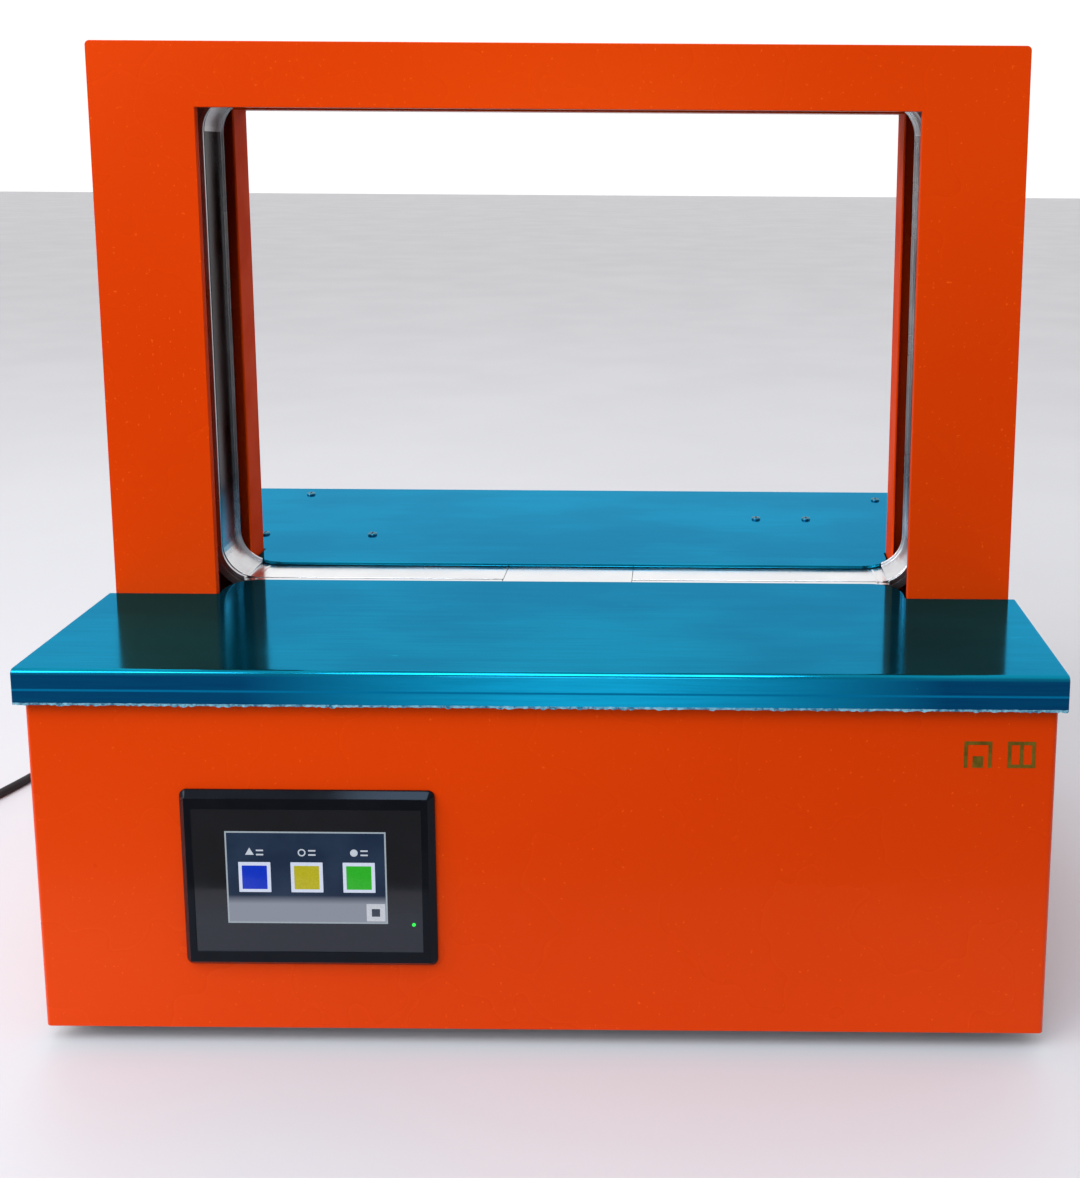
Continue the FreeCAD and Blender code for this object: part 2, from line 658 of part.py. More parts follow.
def make_followers():
    springs = []
    for name, x in zip(follower_names, follower_x):
        save(name, joined(follower_head(name, x), *follower_body(x)))
        save(name + "_roller", ring(X_AXIS, cam_roller_radius, cam_pin_radius + shaft_gap,
                                    (x - cam_width / 2, tape_centre_y, roller_z), cam_width))
        springs.append(wave_spring(x, tape_centre_y, collar_z + collar_thick, block_low))
    save("return_springs", Part.makeCompound(springs))


def wave_spring(x, y, z0, z1):
    """A compression spring of level turns, each joined to the next by a riser, sides alternating."""
    low = z0 + spring_wire + fit_gap
    pitch = (z1 - z0 - 2 * (spring_wire + fit_gap)) / (spring_turns - 1)
    spring = Part.makeTorus(spring_radius, spring_wire, Vec(x, y, low))
    for i in range(1, spring_turns):
        turn = Part.makeTorus(spring_radius, spring_wire, Vec(x, y, low + i * pitch))
        side = -1 if i % 2 else 1
        riser = rod(Z_AXIS, 0.8 * spring_wire, (x + side * spring_radius, y, low + (i - 1) * pitch), pitch)
        spring = spring.fuse(riser).fuse(turn)
    return spring


# ---------------------------------------------------------------- tape reel and feed
def on_reel_axis(radius, y, length):
    return rod(Y_AXIS, radius, (reel_x, y, reel_z), length)


def reel_ring(outer, inner, y, length):
    return ring(Y_AXIS, outer, inner, (reel_x, y, reel_z), length)


def make_reel_stand():
    x0, x1 = reel_x - reel_wall_left, reel_x + reel_wall_right
    plate = box(x0, x1, reel_wall_y, portal_y0, base_top, reel_z + reel_wall_left)
    plate = plate.makeFillet(6.0, edges_along(plate, Y_AXIS, lambda p: True))
    foot = box(x0, x1, reel_wall_y - reel_foot, reel_wall_y, base_top, base_top + reel_wall)
    spindle = on_reel_axis(spindle_radius, portal_y0, spindle_end - portal_y0)
    shoulder = on_reel_axis(spindle_radius + 4, portal_y0, core_y0 - fit_gap - portal_y0)
    save("reel_stand", joined(plate, foot, spindle, shoulder))


def make_reel():
    bore = spindle_radius + shaft_gap
    save("reel_core", reel_ring(core_radius, bore, tape_low_y, tape_width))
    flanges = []
    hole_circle = (core_radius + reel_radius) / 2
    for y in (core_y0, tape_high_y):
        disc = reel_ring(reel_radius, bore, y, flange_thick)
        for x, z in around((reel_x, reel_z), hole_circle, flange_holes):
            disc = disc.cut(rod(Y_AXIS, flange_hole_radius, (x, y - past, z), flange_thick + 2 * past))
        flanges.append(disc)
    save("reel_flanges", Part.makeCompound(flanges))
    save("tape_roll", reel_ring(roll_radius, core_radius, tape_low_y + 0.5, tape_width - 1))


def make_reel_nut():
    """A fluted hand nut that keeps the reel on its spindle."""
    y = tape_high_y + flange_thick + fit_gap
    length = spindle_end - y - 2
    nut = reel_ring(nut_radius, spindle_radius, y, length)
    for x, z in around((reel_x, reel_z), flute_circle, nut_flutes):
        nut = nut.cut(rod(Y_AXIS, flute_radius, (x, y - past, z), length + 2 * past))
    save("reel_nut", nut)


def make_feed_unit():
    """The wall that carries the rollers' pins, the feed motor behind it and the driven roller."""
    y0, y1 = feed_wall_y, feed_wall_y + feed_wall_thick
    shoulder_z = guide_z - feed_wall_edge
    wall = box(mech_x, pinch_x + feed_wall_edge, y0, y1, shoulder_z, feed_z + 24)
    wall = wall.fuse(box(mech_x, dancer_x + 16, y0, y1, dancer_z - feed_wall_edge, shoulder_z))
    wall = wall.cut(rod(Y_AXIS, 8, (feed_x, y0 - past, feed_z), feed_wall_thick + 2 * past))
    pivot_y = arm_y0 - 1.5
    roller_y = tape_low_y - pin_past
    pins = [
        rod(Y_AXIS, roller_pin_radius, (guide_x, roller_y, guide_z), y0 - roller_y),
        rod(Y_AXIS, arm_pivot_radius, (pinch_x, pivot_y, pinch_pivot_z), y0 - pivot_y),
        rod(Y_AXIS, arm_pivot_radius, (dancer_x, pivot_y, dancer_z), y0 - pivot_y),
    ]
    save("feed_plate", joined(wall, *pins))
    half = feed_motor_half
    motor = box(feed_x - half, feed_x + half, y1, y1 + feed_motor_depth, feed_z - half, feed_z + half)
    save("feed_motor", motor.makeChamfer(3.0, edges_along(motor, Y_AXIS, lambda p: True)))
    roller = rod(Y_AXIS, feed_radius, (feed_x, tape_low_y, feed_z), tape_width)
    shaft = rod(Y_AXIS, 4, (feed_x, roller_y, feed_z), y1 - fit_gap - roller_y)
    save("feed_roller", joined(roller, shaft))


def arm_link(x, z, length):
    """An upright lever with a bored foot on its pivot and a roller pin at its top."""
    thick = arm_y1 - arm_y0
    top = z + length
    pin_y = tape_low_y - pin_past
    link = joined(box(x - arm_half, x + arm_half, arm_y0, arm_y1, z, top),
                  rod(Y_AXIS, arm_foot_radius, (x, arm_y0, z), thick),
                  rod(Y_AXIS, arm_head_radius, (x, arm_y0, top), thick),
                  rod(Y_AXIS, roller_pin_radius, (x, pin_y, top), arm_y1 - pin_y))
    return link.cut(rod(Y_AXIS, arm_pivot_radius + shaft_gap, (x, arm_y0 - past, z), thick + 2 * past))


def make_tape_rollers():
    bore = roller_pin_radius + shaft_gap
    save("pinch_arm", arm_link(pinch_x, pinch_pivot_z, pinch_pivot_drop))
    save("dancer_arm", arm_link(dancer_x, dancer_z, dancer_length))
    places = (("pinch_roller", pinch_radius, pinch_x, feed_z),
              ("guide_roller", guide_radius, guide_x, guide_z),
              ("dancer_roller", dancer_roller_radius, dancer_x, dancer_z + dancer_length))
    for name, radius, x, z in places:
        save(name, ring(Y_AXIS, radius, bore, (x, tape_low_y, z), tape_width))


# ---------------------------------------------------------------- touch screen
def centred_on_screen(width, height, y0, y1):
    return box(hmi_centre_x - width / 2, hmi_centre_x + width / 2, y0, y1,
               hmi_centre_z - height / 2, hmi_centre_z + height / 2)


def make_screen():
    front = body_front - hmi_proud
    glass_back = front + screen_sink + screen_thick
    bezel = centred_on_screen(hmi_width, hmi_height, front, body_front)
    bezel = bezel.makeFillet(hmi_corner, edges_along(bezel, Y_AXIS, lambda p: True))
    bezel = bezel.makeChamfer(hmi_bevel, [e for e in bezel.Edges if e.BoundBox.YMax < front + TINY])
    pocket = centred_on_screen(screen_width, screen_height, front - past, glass_back)
    save("hmi_bezel", bezel.cut(pocket))
    save("hmi_screen", centred_on_screen(screen_width, screen_height, front + screen_sink, glass_back))


def make_screen_housing():
    """The screen's case behind the sheet, with a row of cooling slots in its back."""
    back_y = body_front + hmi_depth
    housing = centred_on_screen(hmi_cut_width - 1, hmi_cut_height - 1, body_front, back_y)
    housing = housing.makeChamfer(3.0, [e for e in housing.Edges if e.BoundBox.YMin > back_y - TINY])
    first_x = hmi_centre_x - hmi_cut_width / 2 + 20
    for i in range(housing_slots):
        x = first_x + i * housing_slot_pitch
        housing = housing.cut(box(x, x + housing_slot_width, back_y - 2, back_y + past,
                                  hmi_centre_z - 20, hmi_centre_z + 20))
    save("hmi_housing", housing)


# ---------------------------------------------------------------- rear panel, door and fan
def make_rear_panel():
    """The back sheet round the door, with the fan's, gland's and switch's holes and the louvres."""
    jamb = door_left - 2
    y0, y1 = rear_y, body_rear
    panel = joined(box(-body_in_x, jamb, y0, y1, body_bottom, deck_under),
                   box(jamb, body_in_x, y0, y1, door_high + door_gap, deck_under),
                   box(jamb, body_in_x, y0, y1, body_bottom, door_low - door_gap),
                   box(door_left - 12, door_left + 8, y0 - sheet, y0, door_low + 30, door_high - 30))
    deep, far = y0 - 5, y0 + 5
    holes = [rod(Y_AXIS, fan_side / 2 - fan_wall, (fan_x, deep, fan_z), far - deep),
             rod(Y_AXIS, gland_radius, (gland_x, deep, gland_z), far - deep),
             box(switch_x - switch_half_width + 2, switch_x + switch_half_width - 2, deep, far,
                 switch_z - switch_half_height + 2, switch_z + switch_half_height - 2)]
    for i in range(louvre_rows):
        z = louvre_z + louvre_pitch * i
        holes.append(box(louvre_left, louvre_right, deep, far, z, z + louvre_height))
    save("rear_panel", panel.cut(Part.makeCompound(holes)))


def door_pan(right):
    """The door's sheet with a shallow stiffening rim on its inside."""
    outer = box(door_left, right, rear_y, body_rear, door_low, door_high)
    x0, x1 = door_left + door_rim, right - door_rim
    z0, z1 = door_low + 2, door_high - 2
    rim = box(x0, x1, rear_y - door_return, rear_y, z0, z1)
    hollow = box(x0 + sheet, x1 - sheet, rear_y - door_return - past, rear_y + past, z0 + sheet,
                 z1 - sheet)
    return outer.fuse(rim.cut(hollow))


def door_knob():
    x, z = door_left + knob_inset, (door_low + door_high) / 2
    stem = rod(Y_AXIS, knob_stem, (x, body_rear, z), knob_stand)
    cap = rod(Y_AXIS, knob_radius, (x, body_rear + knob_stand, z), knob_thick)
    face_y = body_rear + knob_stand + knob_thick
    return stem.fuse(cap.makeFillet(2.0, [e for e in cap.Edges if e.BoundBox.YMin > face_y - TINY]))


def make_rear_door():
    """A shallow pan with a pull knob and the moving half of each lift-off hinge."""
    right = hinge_x - hinge_radius - door_gap
    door = joined(door_pan(right), door_knob())
    for z in knuckle_z:
        low = z + knuckle_length + fit_gap
        high = low + knuckle_length
        knuckle = rod(Z_AXIS, hinge_radius, (hinge_x, hinge_y, low), knuckle_length)
        leaf = box(right - hinge_leaf_length, right, body_rear, body_rear + hinge_leaf, low, high)
        arm = box(right - 4, hinge_x, body_rear, body_rear + hinge_leaf + 1, low, high)
        bore = rod(Z_AXIS, hinge_pin_radius + shaft_gap, (hinge_x, hinge_y, low - past),
                   knuckle_length + 2 * past)
        door = joined(door, knuckle, leaf, arm).cut(bore)
    save("rear_door", door)


def make_door_hinges():
    """The fixed halves, each with the pin that the door's knuckle is dropped on."""
    halves = []
    leaf_x = body_x + hinge_leaf
    for z in knuckle_z:
        top = z + knuckle_length
        knuckle = rod(Z_AXIS, hinge_radius, (hinge_x, hinge_y, z), knuckle_length)
        pin = rod(Z_AXIS, hinge_pin_radius, (hinge_x, hinge_y, z), 2 * knuckle_length)
        leaf = box(body_x, leaf_x, body_rear - 20, hinge_y + 1, z, top)
        arm = box(hinge_x, leaf_x, hinge_y - 0.6, hinge_y + 1, z, top)
        halves.append(joined(knuckle, pin, leaf, arm))
    save("door_hinges", Part.makeCompound(halves))


def on_fan_axis(radius, y, length):
    return rod(Y_AXIS, radius, (fan_x, y, fan_z), length)


def make_fan_frame():
    y0 = rear_y - fan_depth
    half = fan_side / 2
    frame = box(fan_x - half, fan_x + half, y0, rear_y, fan_z - half, fan_z + half)
    frame = frame.makeFillet(fan_corner, edges_along(frame, Y_AXIS, lambda p: True))
    frame = frame.cut(on_fan_axis(half - fan_wall, y0 - past, fan_depth + 2 * past))
    parts = [on_fan_axis(spider_radius, y0, 3), on_fan_axis(fan_axle_radius, y0 + 2, 9)]
    for i in range(4):
        arm = box(0, half + 2, y0, y0 + 2, -spider_width / 2, spider_width / 2)
        arm.rotate(Vec(0, 0, 0), Y_AXIS, 45 + 90 * i)
        arm.translate(Vec(fan_x, 0, fan_z))
        parts.append(arm)
    save("fan_frame", joined(frame, *parts))


def make_fan_impeller():
    y0 = rear_y - fan_depth
    tip = fan_side / 2 - 5
    blades = []
    for i in range(fan_blades):
        blade = box(fan_hub_radius - 3, tip, y0 + 5, y0 + 5 + fan_blade_thick, -fan_blade_chord / 2,
                    fan_blade_chord / 2)
        blade.rotate(Vec(0, y0 + 8, 0), X_AXIS, blade_pitch_angle)
        blade.translate(Vec(0, 3, 0))
        blade.rotate(Vec(0, 0, 0), Y_AXIS, 360.0 * i / fan_blades)
        blade.translate(Vec(fan_x, 0, fan_z))
        blades.append(blade)
    wheel = joined(on_fan_axis(fan_hub_radius, y0 + 3.5, fan_depth - 5), *blades)
    save("fan_impeller", wheel.cut(on_fan_axis(fan_axle_radius + shaft_gap, y0 + 3, 8.5)))


# ---------------------------------------------------------------- electrics
def make_power_switch():
    """A rocker that tips on two round trunnions in the walls of its sleeve."""
    x0, x1 = switch_x - switch_half_width, switch_x + switch_half_width
    z0, z1 = switch_z - switch_half_height, switch_z + switch_half_height
    pivot_y = body_rear - rocker_drop
    flange = box(x0, x1, body_rear, body_rear + switch_flange, z0, z1)
    sleeve = box(x0 + 2, x1 - 2, rear_y - 18, body_rear, z0 + 2, z1 - 2)
    cavity = box(x0 + 5, x1 - 5, rear_y - 14, body_rear + switch_flange + past, z0 + 4, z1 - 4)
    low, high = z0 + 4.5, z1 - 4.5
    pin_low, pin_high = low - trunnion_past, high + trunnion_past
    seat = rod(Z_AXIS, trunnion_radius + shaft_gap, (switch_x, pivot_y, pin_low - 0.2),
               pin_high - pin_low + 0.4)
    save("power_switch", joined(flange, sleeve).cut(cavity).cut(seat))
    outline = [Vec(x, y, 0) for x, y in rocker_outline + rocker_outline[:1]]
    rocker = Part.Face(Part.makePolygon(outline)).extrude(Vec(0, 0, high - low))
    rocker.rotate(Vec(0, 0, 0), Z_AXIS, rocker_tilt)
    rocker.translate(Vec(switch_x, pivot_y, low))
    trunnions = rod(Z_AXIS, trunnion_radius, (switch_x, pivot_y, pin_low), pin_high - pin_low)
    save("power_rocker", joined(rocker, trunnions))


def make_power_supply():
    x0 = -body_in_x + supply_inset
    x1 = x0 + supply_width
    supply = box(x0, x1, supply_front, supply_rear, base_top, base_top + supply_height)
    for i in range(9):
        y = supply_front + 12 + i * 11
        supply = supply.cut(box(x1 - 4, x1 + past, y, y + 4, base_top + 20, base_top + 80))
    save("power_supply", supply)


def make_controller_board():
    board_z = base_top + board_stand
    top = board_z + board_thick
    parts = [box(board_left, board_right, board_front, board_rear, board_z, top)]
    for x in (board_left + stand_inset, board_right - stand_inset):
        for y in (board_front + stand_inset, board_rear - stand_inset):
            parts.append(rod(Z_AXIS, stand_radius, (x, y, base_top), board_stand))
    for dx, dy, wide, deep, high in board_blocks:
        x, y = board_left + dx, board_front + dy
        parts.append(box(x, x + wide, y, y + deep, top, top + high))
    save("controller_board", joined(*parts))


# ---------------------------------------------------------------- mains lead
def rounded_path(points):
    """Straight runs joined by arcs, each as large as its shorter run allows. Returns wire and radii."""
    edges, radii, at = [], [], points[0]
    for before, corner, after in zip(points, points[1:], points[2:]):
        run_in, run_out = corner - before, after - corner
        turn = run_in.getAngle(run_out)
        reach = 0.45 * min(run_in.Length, run_out.Length)
        radii.append(reach / math.tan(turn / 2))
        a = corner - run_in.normalize() * reach
        b = corner + run_out.normalize() * reach
        middle_dir = ((a + b) * 0.5 - corner).normalize()
        sagitta = radii[-1] / math.cos(turn / 2) - radii[-1]
        edges.append(Part.LineSegment(at, a).toShape())
        edges.append(Part.Arc(a, corner + middle_dir * sagitta, b).toShape())
        at = b
    edges.append(Part.LineSegment(at, points[-1]).toShape())
    return Part.Wire(edges), radii


def lead_tube(label, route):
    """A round tube along a route, which is placed from the strain relief's tip."""
    wire, radii = rounded_path([Vec(gland_x + x, relief_tip_y + y, z) for x, y, z in route])
    start = wire.Edges[0]
    place = start.valueAt(start.FirstParameter)
    profile = Part.Wire(Part.makeCircle(cord_diameter / 2, place, start.tangentAt(start.FirstParameter)))
    tube = wire.makePipeShell([profile], True, False)
    ideal = math.pi * cord_diameter ** 2 / 4 * wire.Length
    print(label, "length %.1f mm, volume over ideal %.4f, radii" % (wire.Length, tube.Volume / ideal),
          " ".join("%.0f" % r for r in radii))
    return tube


def make_strain_relief():
    nut = rod(Y_AXIS, gland_radius + 4, (gland_x, body_rear, gland_z), relief_nut)
    inner = rod(Y_AXIS, gland_radius, (gland_x, rear_y - 8, gland_z), 8 + sheet)
    cone = Part.makeCone(gland_radius - 1, cord_diameter / 2 + 0.8, relief_length - relief_nut,
                         Vec(gland_x, body_rear + relief_nut, gland_z), Y_AXIS)
    save("strain_relief", joined(nut, inner, cone))


def make_mains_lead():
    """The lead in two lengths, and between them the coil of its spare turns as one ring."""
    tubes = [lead_tube("mains lead", cord_route), lead_tube("lead tail", tail_route)]
    save("mains_lead", Part.makeCompound(tubes))
    outer = max(coil_radii_low) + cord_diameter / 2
    inner = min(coil_radii_low) - cord_diameter / 2
    height = cord_diameter * (1 + math.sqrt(3) / 2)
    coil = ring(Z_AXIS, outer, inner, (coil_x, coil_y, 0), height)
    coil = coil.makeChamfer(3.0, [e for e in coil.Edges if e.BoundBox.ZMin > height - TINY])
    save("mains_lead_coil", coil)
    turns = sum(2 * math.pi * r for r in coil_radii_low + coil_radii_high)
    print("coil turns length %.0f mm" % turns)


def make_mains_plug():
    dx, dy, z = tail_route[-1]
    x, y = gland_x + dx, relief_tip_y + dy
    body = box(x - plug_half, x + plug_half, y - plug_length, y, 0, 2 * z)
    body = body.makeFillet(plug_edge, edges_along(body, Y_AXIS, lambda p: True))
    pins = []
    for pin_x in (x - pin_half_pitch, x + pin_half_pitch):
        pins.append(box(pin_x - pin_thick / 2, pin_x + pin_thick / 2, y - plug_length - pin_length,
                        y - plug_length, z - pin_width / 2, z + pin_width / 2))
    save("mains_plug", joined(body, *pins))


def main():
    os.makedirs("parts", exist_ok=True)
    make_feet()
    make_base_plate()
    make_body_shell()
    make_deck("front_table", arch_front - fit_gap, tab_rear_y)
    make_deck("rear_deck", arch_rear + fit_gap, tab_front_y)
    make_deck_screws()
    make_arch_front_cover()
    make_arch_rear_cover()
    make_arch_frame()
    make_track()
    make_track_brackets()
    make_anvil()
    make_mech_plates()
    make_guide_block()
    make_camshaft()
    make_gearmotor()
    make_followers()
    make_reel_stand()
    make_reel()
    make_reel_nut()
    make_feed_unit()
    make_tape_rollers()
    make_screen()
    make_screen_housing()
    make_rear_panel()
    make_rear_door()
    make_door_hinges()
    make_fan_frame()
    make_fan_impeller()
    make_power_switch()
    make_power_supply()
    make_controller_board()
    make_strain_relief()
    make_mains_lead()
    make_mains_plug()
    for name, count, volume in saved:
        print("%-24s %2d solid(s) %10.0f mm3" % (name, count, volume))
    print(len(saved), "nodes")


main()
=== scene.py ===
import json
import math

import bpy
from mathutils import Matrix, Vector

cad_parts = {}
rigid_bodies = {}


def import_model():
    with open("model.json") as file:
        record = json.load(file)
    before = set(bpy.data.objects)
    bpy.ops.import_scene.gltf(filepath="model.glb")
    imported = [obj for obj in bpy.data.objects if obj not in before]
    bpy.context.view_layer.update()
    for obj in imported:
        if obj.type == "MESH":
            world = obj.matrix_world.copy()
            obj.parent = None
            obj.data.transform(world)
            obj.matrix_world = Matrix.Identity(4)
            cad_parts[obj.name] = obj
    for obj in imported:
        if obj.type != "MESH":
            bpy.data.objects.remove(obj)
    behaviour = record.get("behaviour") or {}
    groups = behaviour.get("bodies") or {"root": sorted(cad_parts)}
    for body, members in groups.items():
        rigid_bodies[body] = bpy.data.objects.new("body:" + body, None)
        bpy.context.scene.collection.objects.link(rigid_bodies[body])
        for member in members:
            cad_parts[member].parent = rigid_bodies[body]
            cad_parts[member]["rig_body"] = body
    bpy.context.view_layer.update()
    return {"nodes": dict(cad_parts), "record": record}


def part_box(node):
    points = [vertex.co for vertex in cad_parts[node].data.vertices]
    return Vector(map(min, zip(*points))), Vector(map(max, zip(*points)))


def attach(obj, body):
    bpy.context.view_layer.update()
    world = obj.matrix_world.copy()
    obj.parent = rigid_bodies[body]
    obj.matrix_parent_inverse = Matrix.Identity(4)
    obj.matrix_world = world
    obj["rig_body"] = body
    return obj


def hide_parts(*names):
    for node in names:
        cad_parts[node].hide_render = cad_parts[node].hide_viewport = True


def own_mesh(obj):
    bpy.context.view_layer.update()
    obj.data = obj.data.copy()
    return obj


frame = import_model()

bl_info = {
    "name": "Bench-top arch banding machine",
    "version": (1, 0, 0),
    "blender": (4, 5, 0),
    "location": "3D View > Sidebar > Banding machine",
    "description": "Finishes and details of a bench-top machine that bands goods with film tape",
    "category": "Object",
}

MM = 0.001
PREFIX = "banding_"


# ------------------------------------------------------------------ settings a user would change
class BandingSizes(bpy.types.PropertyGroup):
    """Sizes of what is added round the frame."""
    edge_round: bpy.props.FloatProperty(
        name="Sheet edge rounding", description="Radius on the edges of painted sheet",
        default=0.45 * MM, min=0.0, subtype="DISTANCE")
    film_thickness: bpy.props.FloatProperty(
        name="Film thickness", description="Thickness of the protective film's torn rim",
        default=0.12 * MM, subtype="DISTANCE")
    key_side: bpy.props.FloatProperty(
        name="Key side", description="Side of a key shown on the touch screen",
        default=18.5 * MM, subtype="DISTANCE")
    key_pitch: bpy.props.FloatProperty(
        name="Key pitch", description="Distance between the keys' middles",
        default=30.2 * MM, subtype="DISTANCE")
    lead_diameter: bpy.props.FloatProperty(
        name="Lead diameter", description="Outside diameter of the mains lead",
        default=7.0 * MM, subtype="DISTANCE")


class BandingColours(bpy.types.PropertyGroup):
    """Colours of the painted, filmed and printed surfaces."""
    paint: bpy.props.FloatVectorProperty(
        name="Paint", description="Orange powder coat", subtype="COLOR", size=3,
        default=(0.66, 0.043, 0.0007))
    paint_deep: bpy.props.FloatVectorProperty(
        name="Paint, deep", description="The same coat where it lies thicker", subtype="COLOR", size=3,
        default=(0.60, 0.036, 0.0005))
    film: bpy.props.FloatVectorProperty(
        name="Film", description="Protective film on the tables", subtype="COLOR", size=3,
        default=(0.0010, 0.175, 0.29))
    film_light: bpy.props.FloatVectorProperty(
        name="Film, light", description="The film where it has lifted a little", subtype="COLOR", size=3,
        default=(0.004, 0.26, 0.40))
    floor: bpy.props.FloatVectorProperty(
        name="Bench", description="Pale bench under the machine", subtype="COLOR", size=3,
        default=(0.57, 0.565, 0.59))


# ------------------------------------------------------------------ node helpers for the finishes
class Tree:
    """A material's node tree with short calls for the nodes that the finishes share."""

    def __init__(self, name):
        self.material = bpy.data.materials.new(PREFIX + name)
        self.material.use_nodes = True
        self.nodes = self.material.node_tree.nodes
        self.links = self.material.node_tree.links
        self.shader = self.nodes["Principled BSDF"]
        self.place = self.nodes.new("ShaderNodeTexCoord").outputs["Object"]

    def along(self, axis):
        """The place along one axis, "X", "Y" or "Z"."""
        split = self.nodes.new("ShaderNodeSeparateXYZ")
        self.links.new(self.place, split.inputs["Vector"])
        return split.outputs[axis]

    def stretched(self, x, y, z):
        mapping = self.nodes.new("ShaderNodeMapping")
        mapping.inputs["Scale"].default_value = (x, y, z)
        self.links.new(self.place, mapping.inputs["Vector"])
        return mapping.outputs["Vector"]

    def noise(self, scale, detail=3.0, rough=0.5, place=None):
        node = self.nodes.new("ShaderNodeTexNoise")
        node.inputs["Scale"].default_value = scale
        node.inputs["Detail"].default_value = detail
        node.inputs["Roughness"].default_value = rough
        self.links.new(place or self.place, node.inputs["Vector"])
        return node.outputs["Fac"]

    def voronoi(self, scale, feature="F1", place=None):
        node = self.nodes.new("ShaderNodeTexVoronoi")
        node.feature = feature
        node.inputs["Scale"].default_value = scale
        self.links.new(place or self.place, node.inputs["Vector"])
        return node.outputs["Distance"]

    def ramp(self, fac, stops):
        node = self.nodes.new("ShaderNodeValToRGB")
        ramp = node.color_ramp
        while len(ramp.elements) < len(stops):
            ramp.elements.new(0.5)
        for element, (position, colour) in zip(ramp.elements, stops):
            element.position = position
            element.color = (*colour, 1.0)
        self.links.new(fac, node.inputs["Fac"])
        return node.outputs["Color"]

    def between(self, fac, low, high):
        """A number that runs from low to high as fac goes over its middle range."""
        node = self.nodes.new("ShaderNodeMapRange")
        node.interpolation_type = "SMOOTHSTEP"
        node.inputs["From Min"].default_value = 0.3
        node.inputs["From Max"].default_value = 0.7
        node.inputs["To Min"].default_value = low
        node.inputs["To Max"].default_value = high
        self.links.new(fac, node.inputs["Value"])
        return node.outputs["Result"]

    def span(self, value, start, end):
        """0 at start and 1 at end, even in between and level outside."""
        node = self.nodes.new("ShaderNodeMapRange")
        node.inputs["From Min"].default_value = start
        node.inputs["From Max"].default_value = end
        self.links.new(value, node.inputs["Value"])
        return node.outputs["Result"]

    def maths(self, operation, value, other=0.0):
        node = self.nodes.new("ShaderNodeMath")
        node.operation = operation
        self.links.new(value, node.inputs[0])
        node.inputs[1].default_value = other
        return node.outputs["Value"]

    def absolute(self, value):
        return self.maths("ABSOLUTE", value)

    def shifted(self, value, by):
        return self.maths("ADD", value, by)

    def shifted_by(self, value, other, amount):
        """value plus amount times other's swing round a half."""
        node = self.nodes.new("ShaderNodeMath")
        node.operation = "MULTIPLY_ADD"
        self.links.new(other, node.inputs[0])
        node.inputs[1].default_value = amount
        self.links.new(self.maths("ADD", value, -amount / 2), node.inputs[2])
        return node.outputs["Value"]

    def mix(self, fac, colour_a, colour_b):
        node = self.nodes.new("ShaderNodeMix")
        node.data_type = "RGBA"
        for index, value in ((0, fac), (6, colour_a), (7, colour_b)):
            socket = node.inputs[index]
            if isinstance(value, bpy.types.NodeSocket):
                self.links.new(value, socket)
            elif isinstance(value, float):
                socket.default_value = value
            else:
                socket.default_value = (*value, 1.0)
        return node.outputs[2]

    def bump(self, *layers):
        """Layers are (height socket, strength, distance in metres), from the coarsest to the finest."""
        normal = None
        for height, strength, distance in layers:
            node = self.nodes.new("ShaderNodeBump")
            node.inputs["Strength"].default_value = strength
            node.inputs["Distance"].default_value = distance
            self.links.new(height, node.inputs["Height"])
            if normal is not None:
                self.links.new(normal, node.inputs["Normal"])
            normal = node.outputs["Normal"]
        self.links.new(normal, self.shader.inputs["Normal"])

    def put(self, socket, value):
        if isinstance(value, bpy.types.NodeSocket):
            self.links.new(value, self.shader.inputs[socket])
        elif isinstance(value, (tuple, list)):
            self.shader.inputs[socket].default_value = (*value, 1.0)
        else:
            self.shader.inputs[socket].default_value = value


def colours():
    return bpy.context.scene.banding_colours


def sizes():
    return bpy.context.scene.banding_sizes


# ------------------------------------------------------------------ finishes
def orange_paint():
    """Powder coat: even colour with slow drifts, a fine orange peel and a clear gloss."""
    t = Tree("orange_paint")
    drift = t.noise(3.0, 0.0)
    base = t.mix(t.between(drift, 0.0, 1.0), tuple(colours().paint), tuple(colours().paint_deep))
    specks = t.ramp(t.noise(420.0, 2.0), [(0.69, (0.0, 0.0, 0.0)), (0.73, (1.0, 1.0, 1.0))])
    t.put("Base Color", t.mix(specks, base, (0.74, 0.080, 0.006)))
    t.put("Roughness", t.between(t.noise(14.0, 2.0), 0.26, 0.29))
    t.put("Specular IOR Level", 0.42)
    t.put("Specular Tint", (1.0, 0.30, 0.04))
    t.put("Coat Weight", 0.04)
    t.put("Coat Roughness", 0.08)
    t.bump((t.noise(7.0, 0.0), 0.03, 1.2 * MM), (t.noise(650.0, 2.0), 0.10, 0.10 * MM))
    return t.material


def inner_paint():
    """The same coat on the arch's inner returns, where it was sprayed thin and lies matt."""
    t = Tree("inner_paint")
    spray = t.noise(30.0, 3.0)
    coat, deep = tuple(colours().paint), tuple(colours().paint_deep)
    t.put("Base Color", t.mix(t.between(spray, 0.0, 1.0), coat, deep))
    t.put("Roughness", t.between(spray, 0.55, 0.65))
    t.put("Specular IOR Level", 0.05)
    t.put("Specular Tint", (1.0, 0.25, 0.03))
    t.bump((t.noise(600.0, 2.0), 0.15, 0.1 * MM))
    return t.material


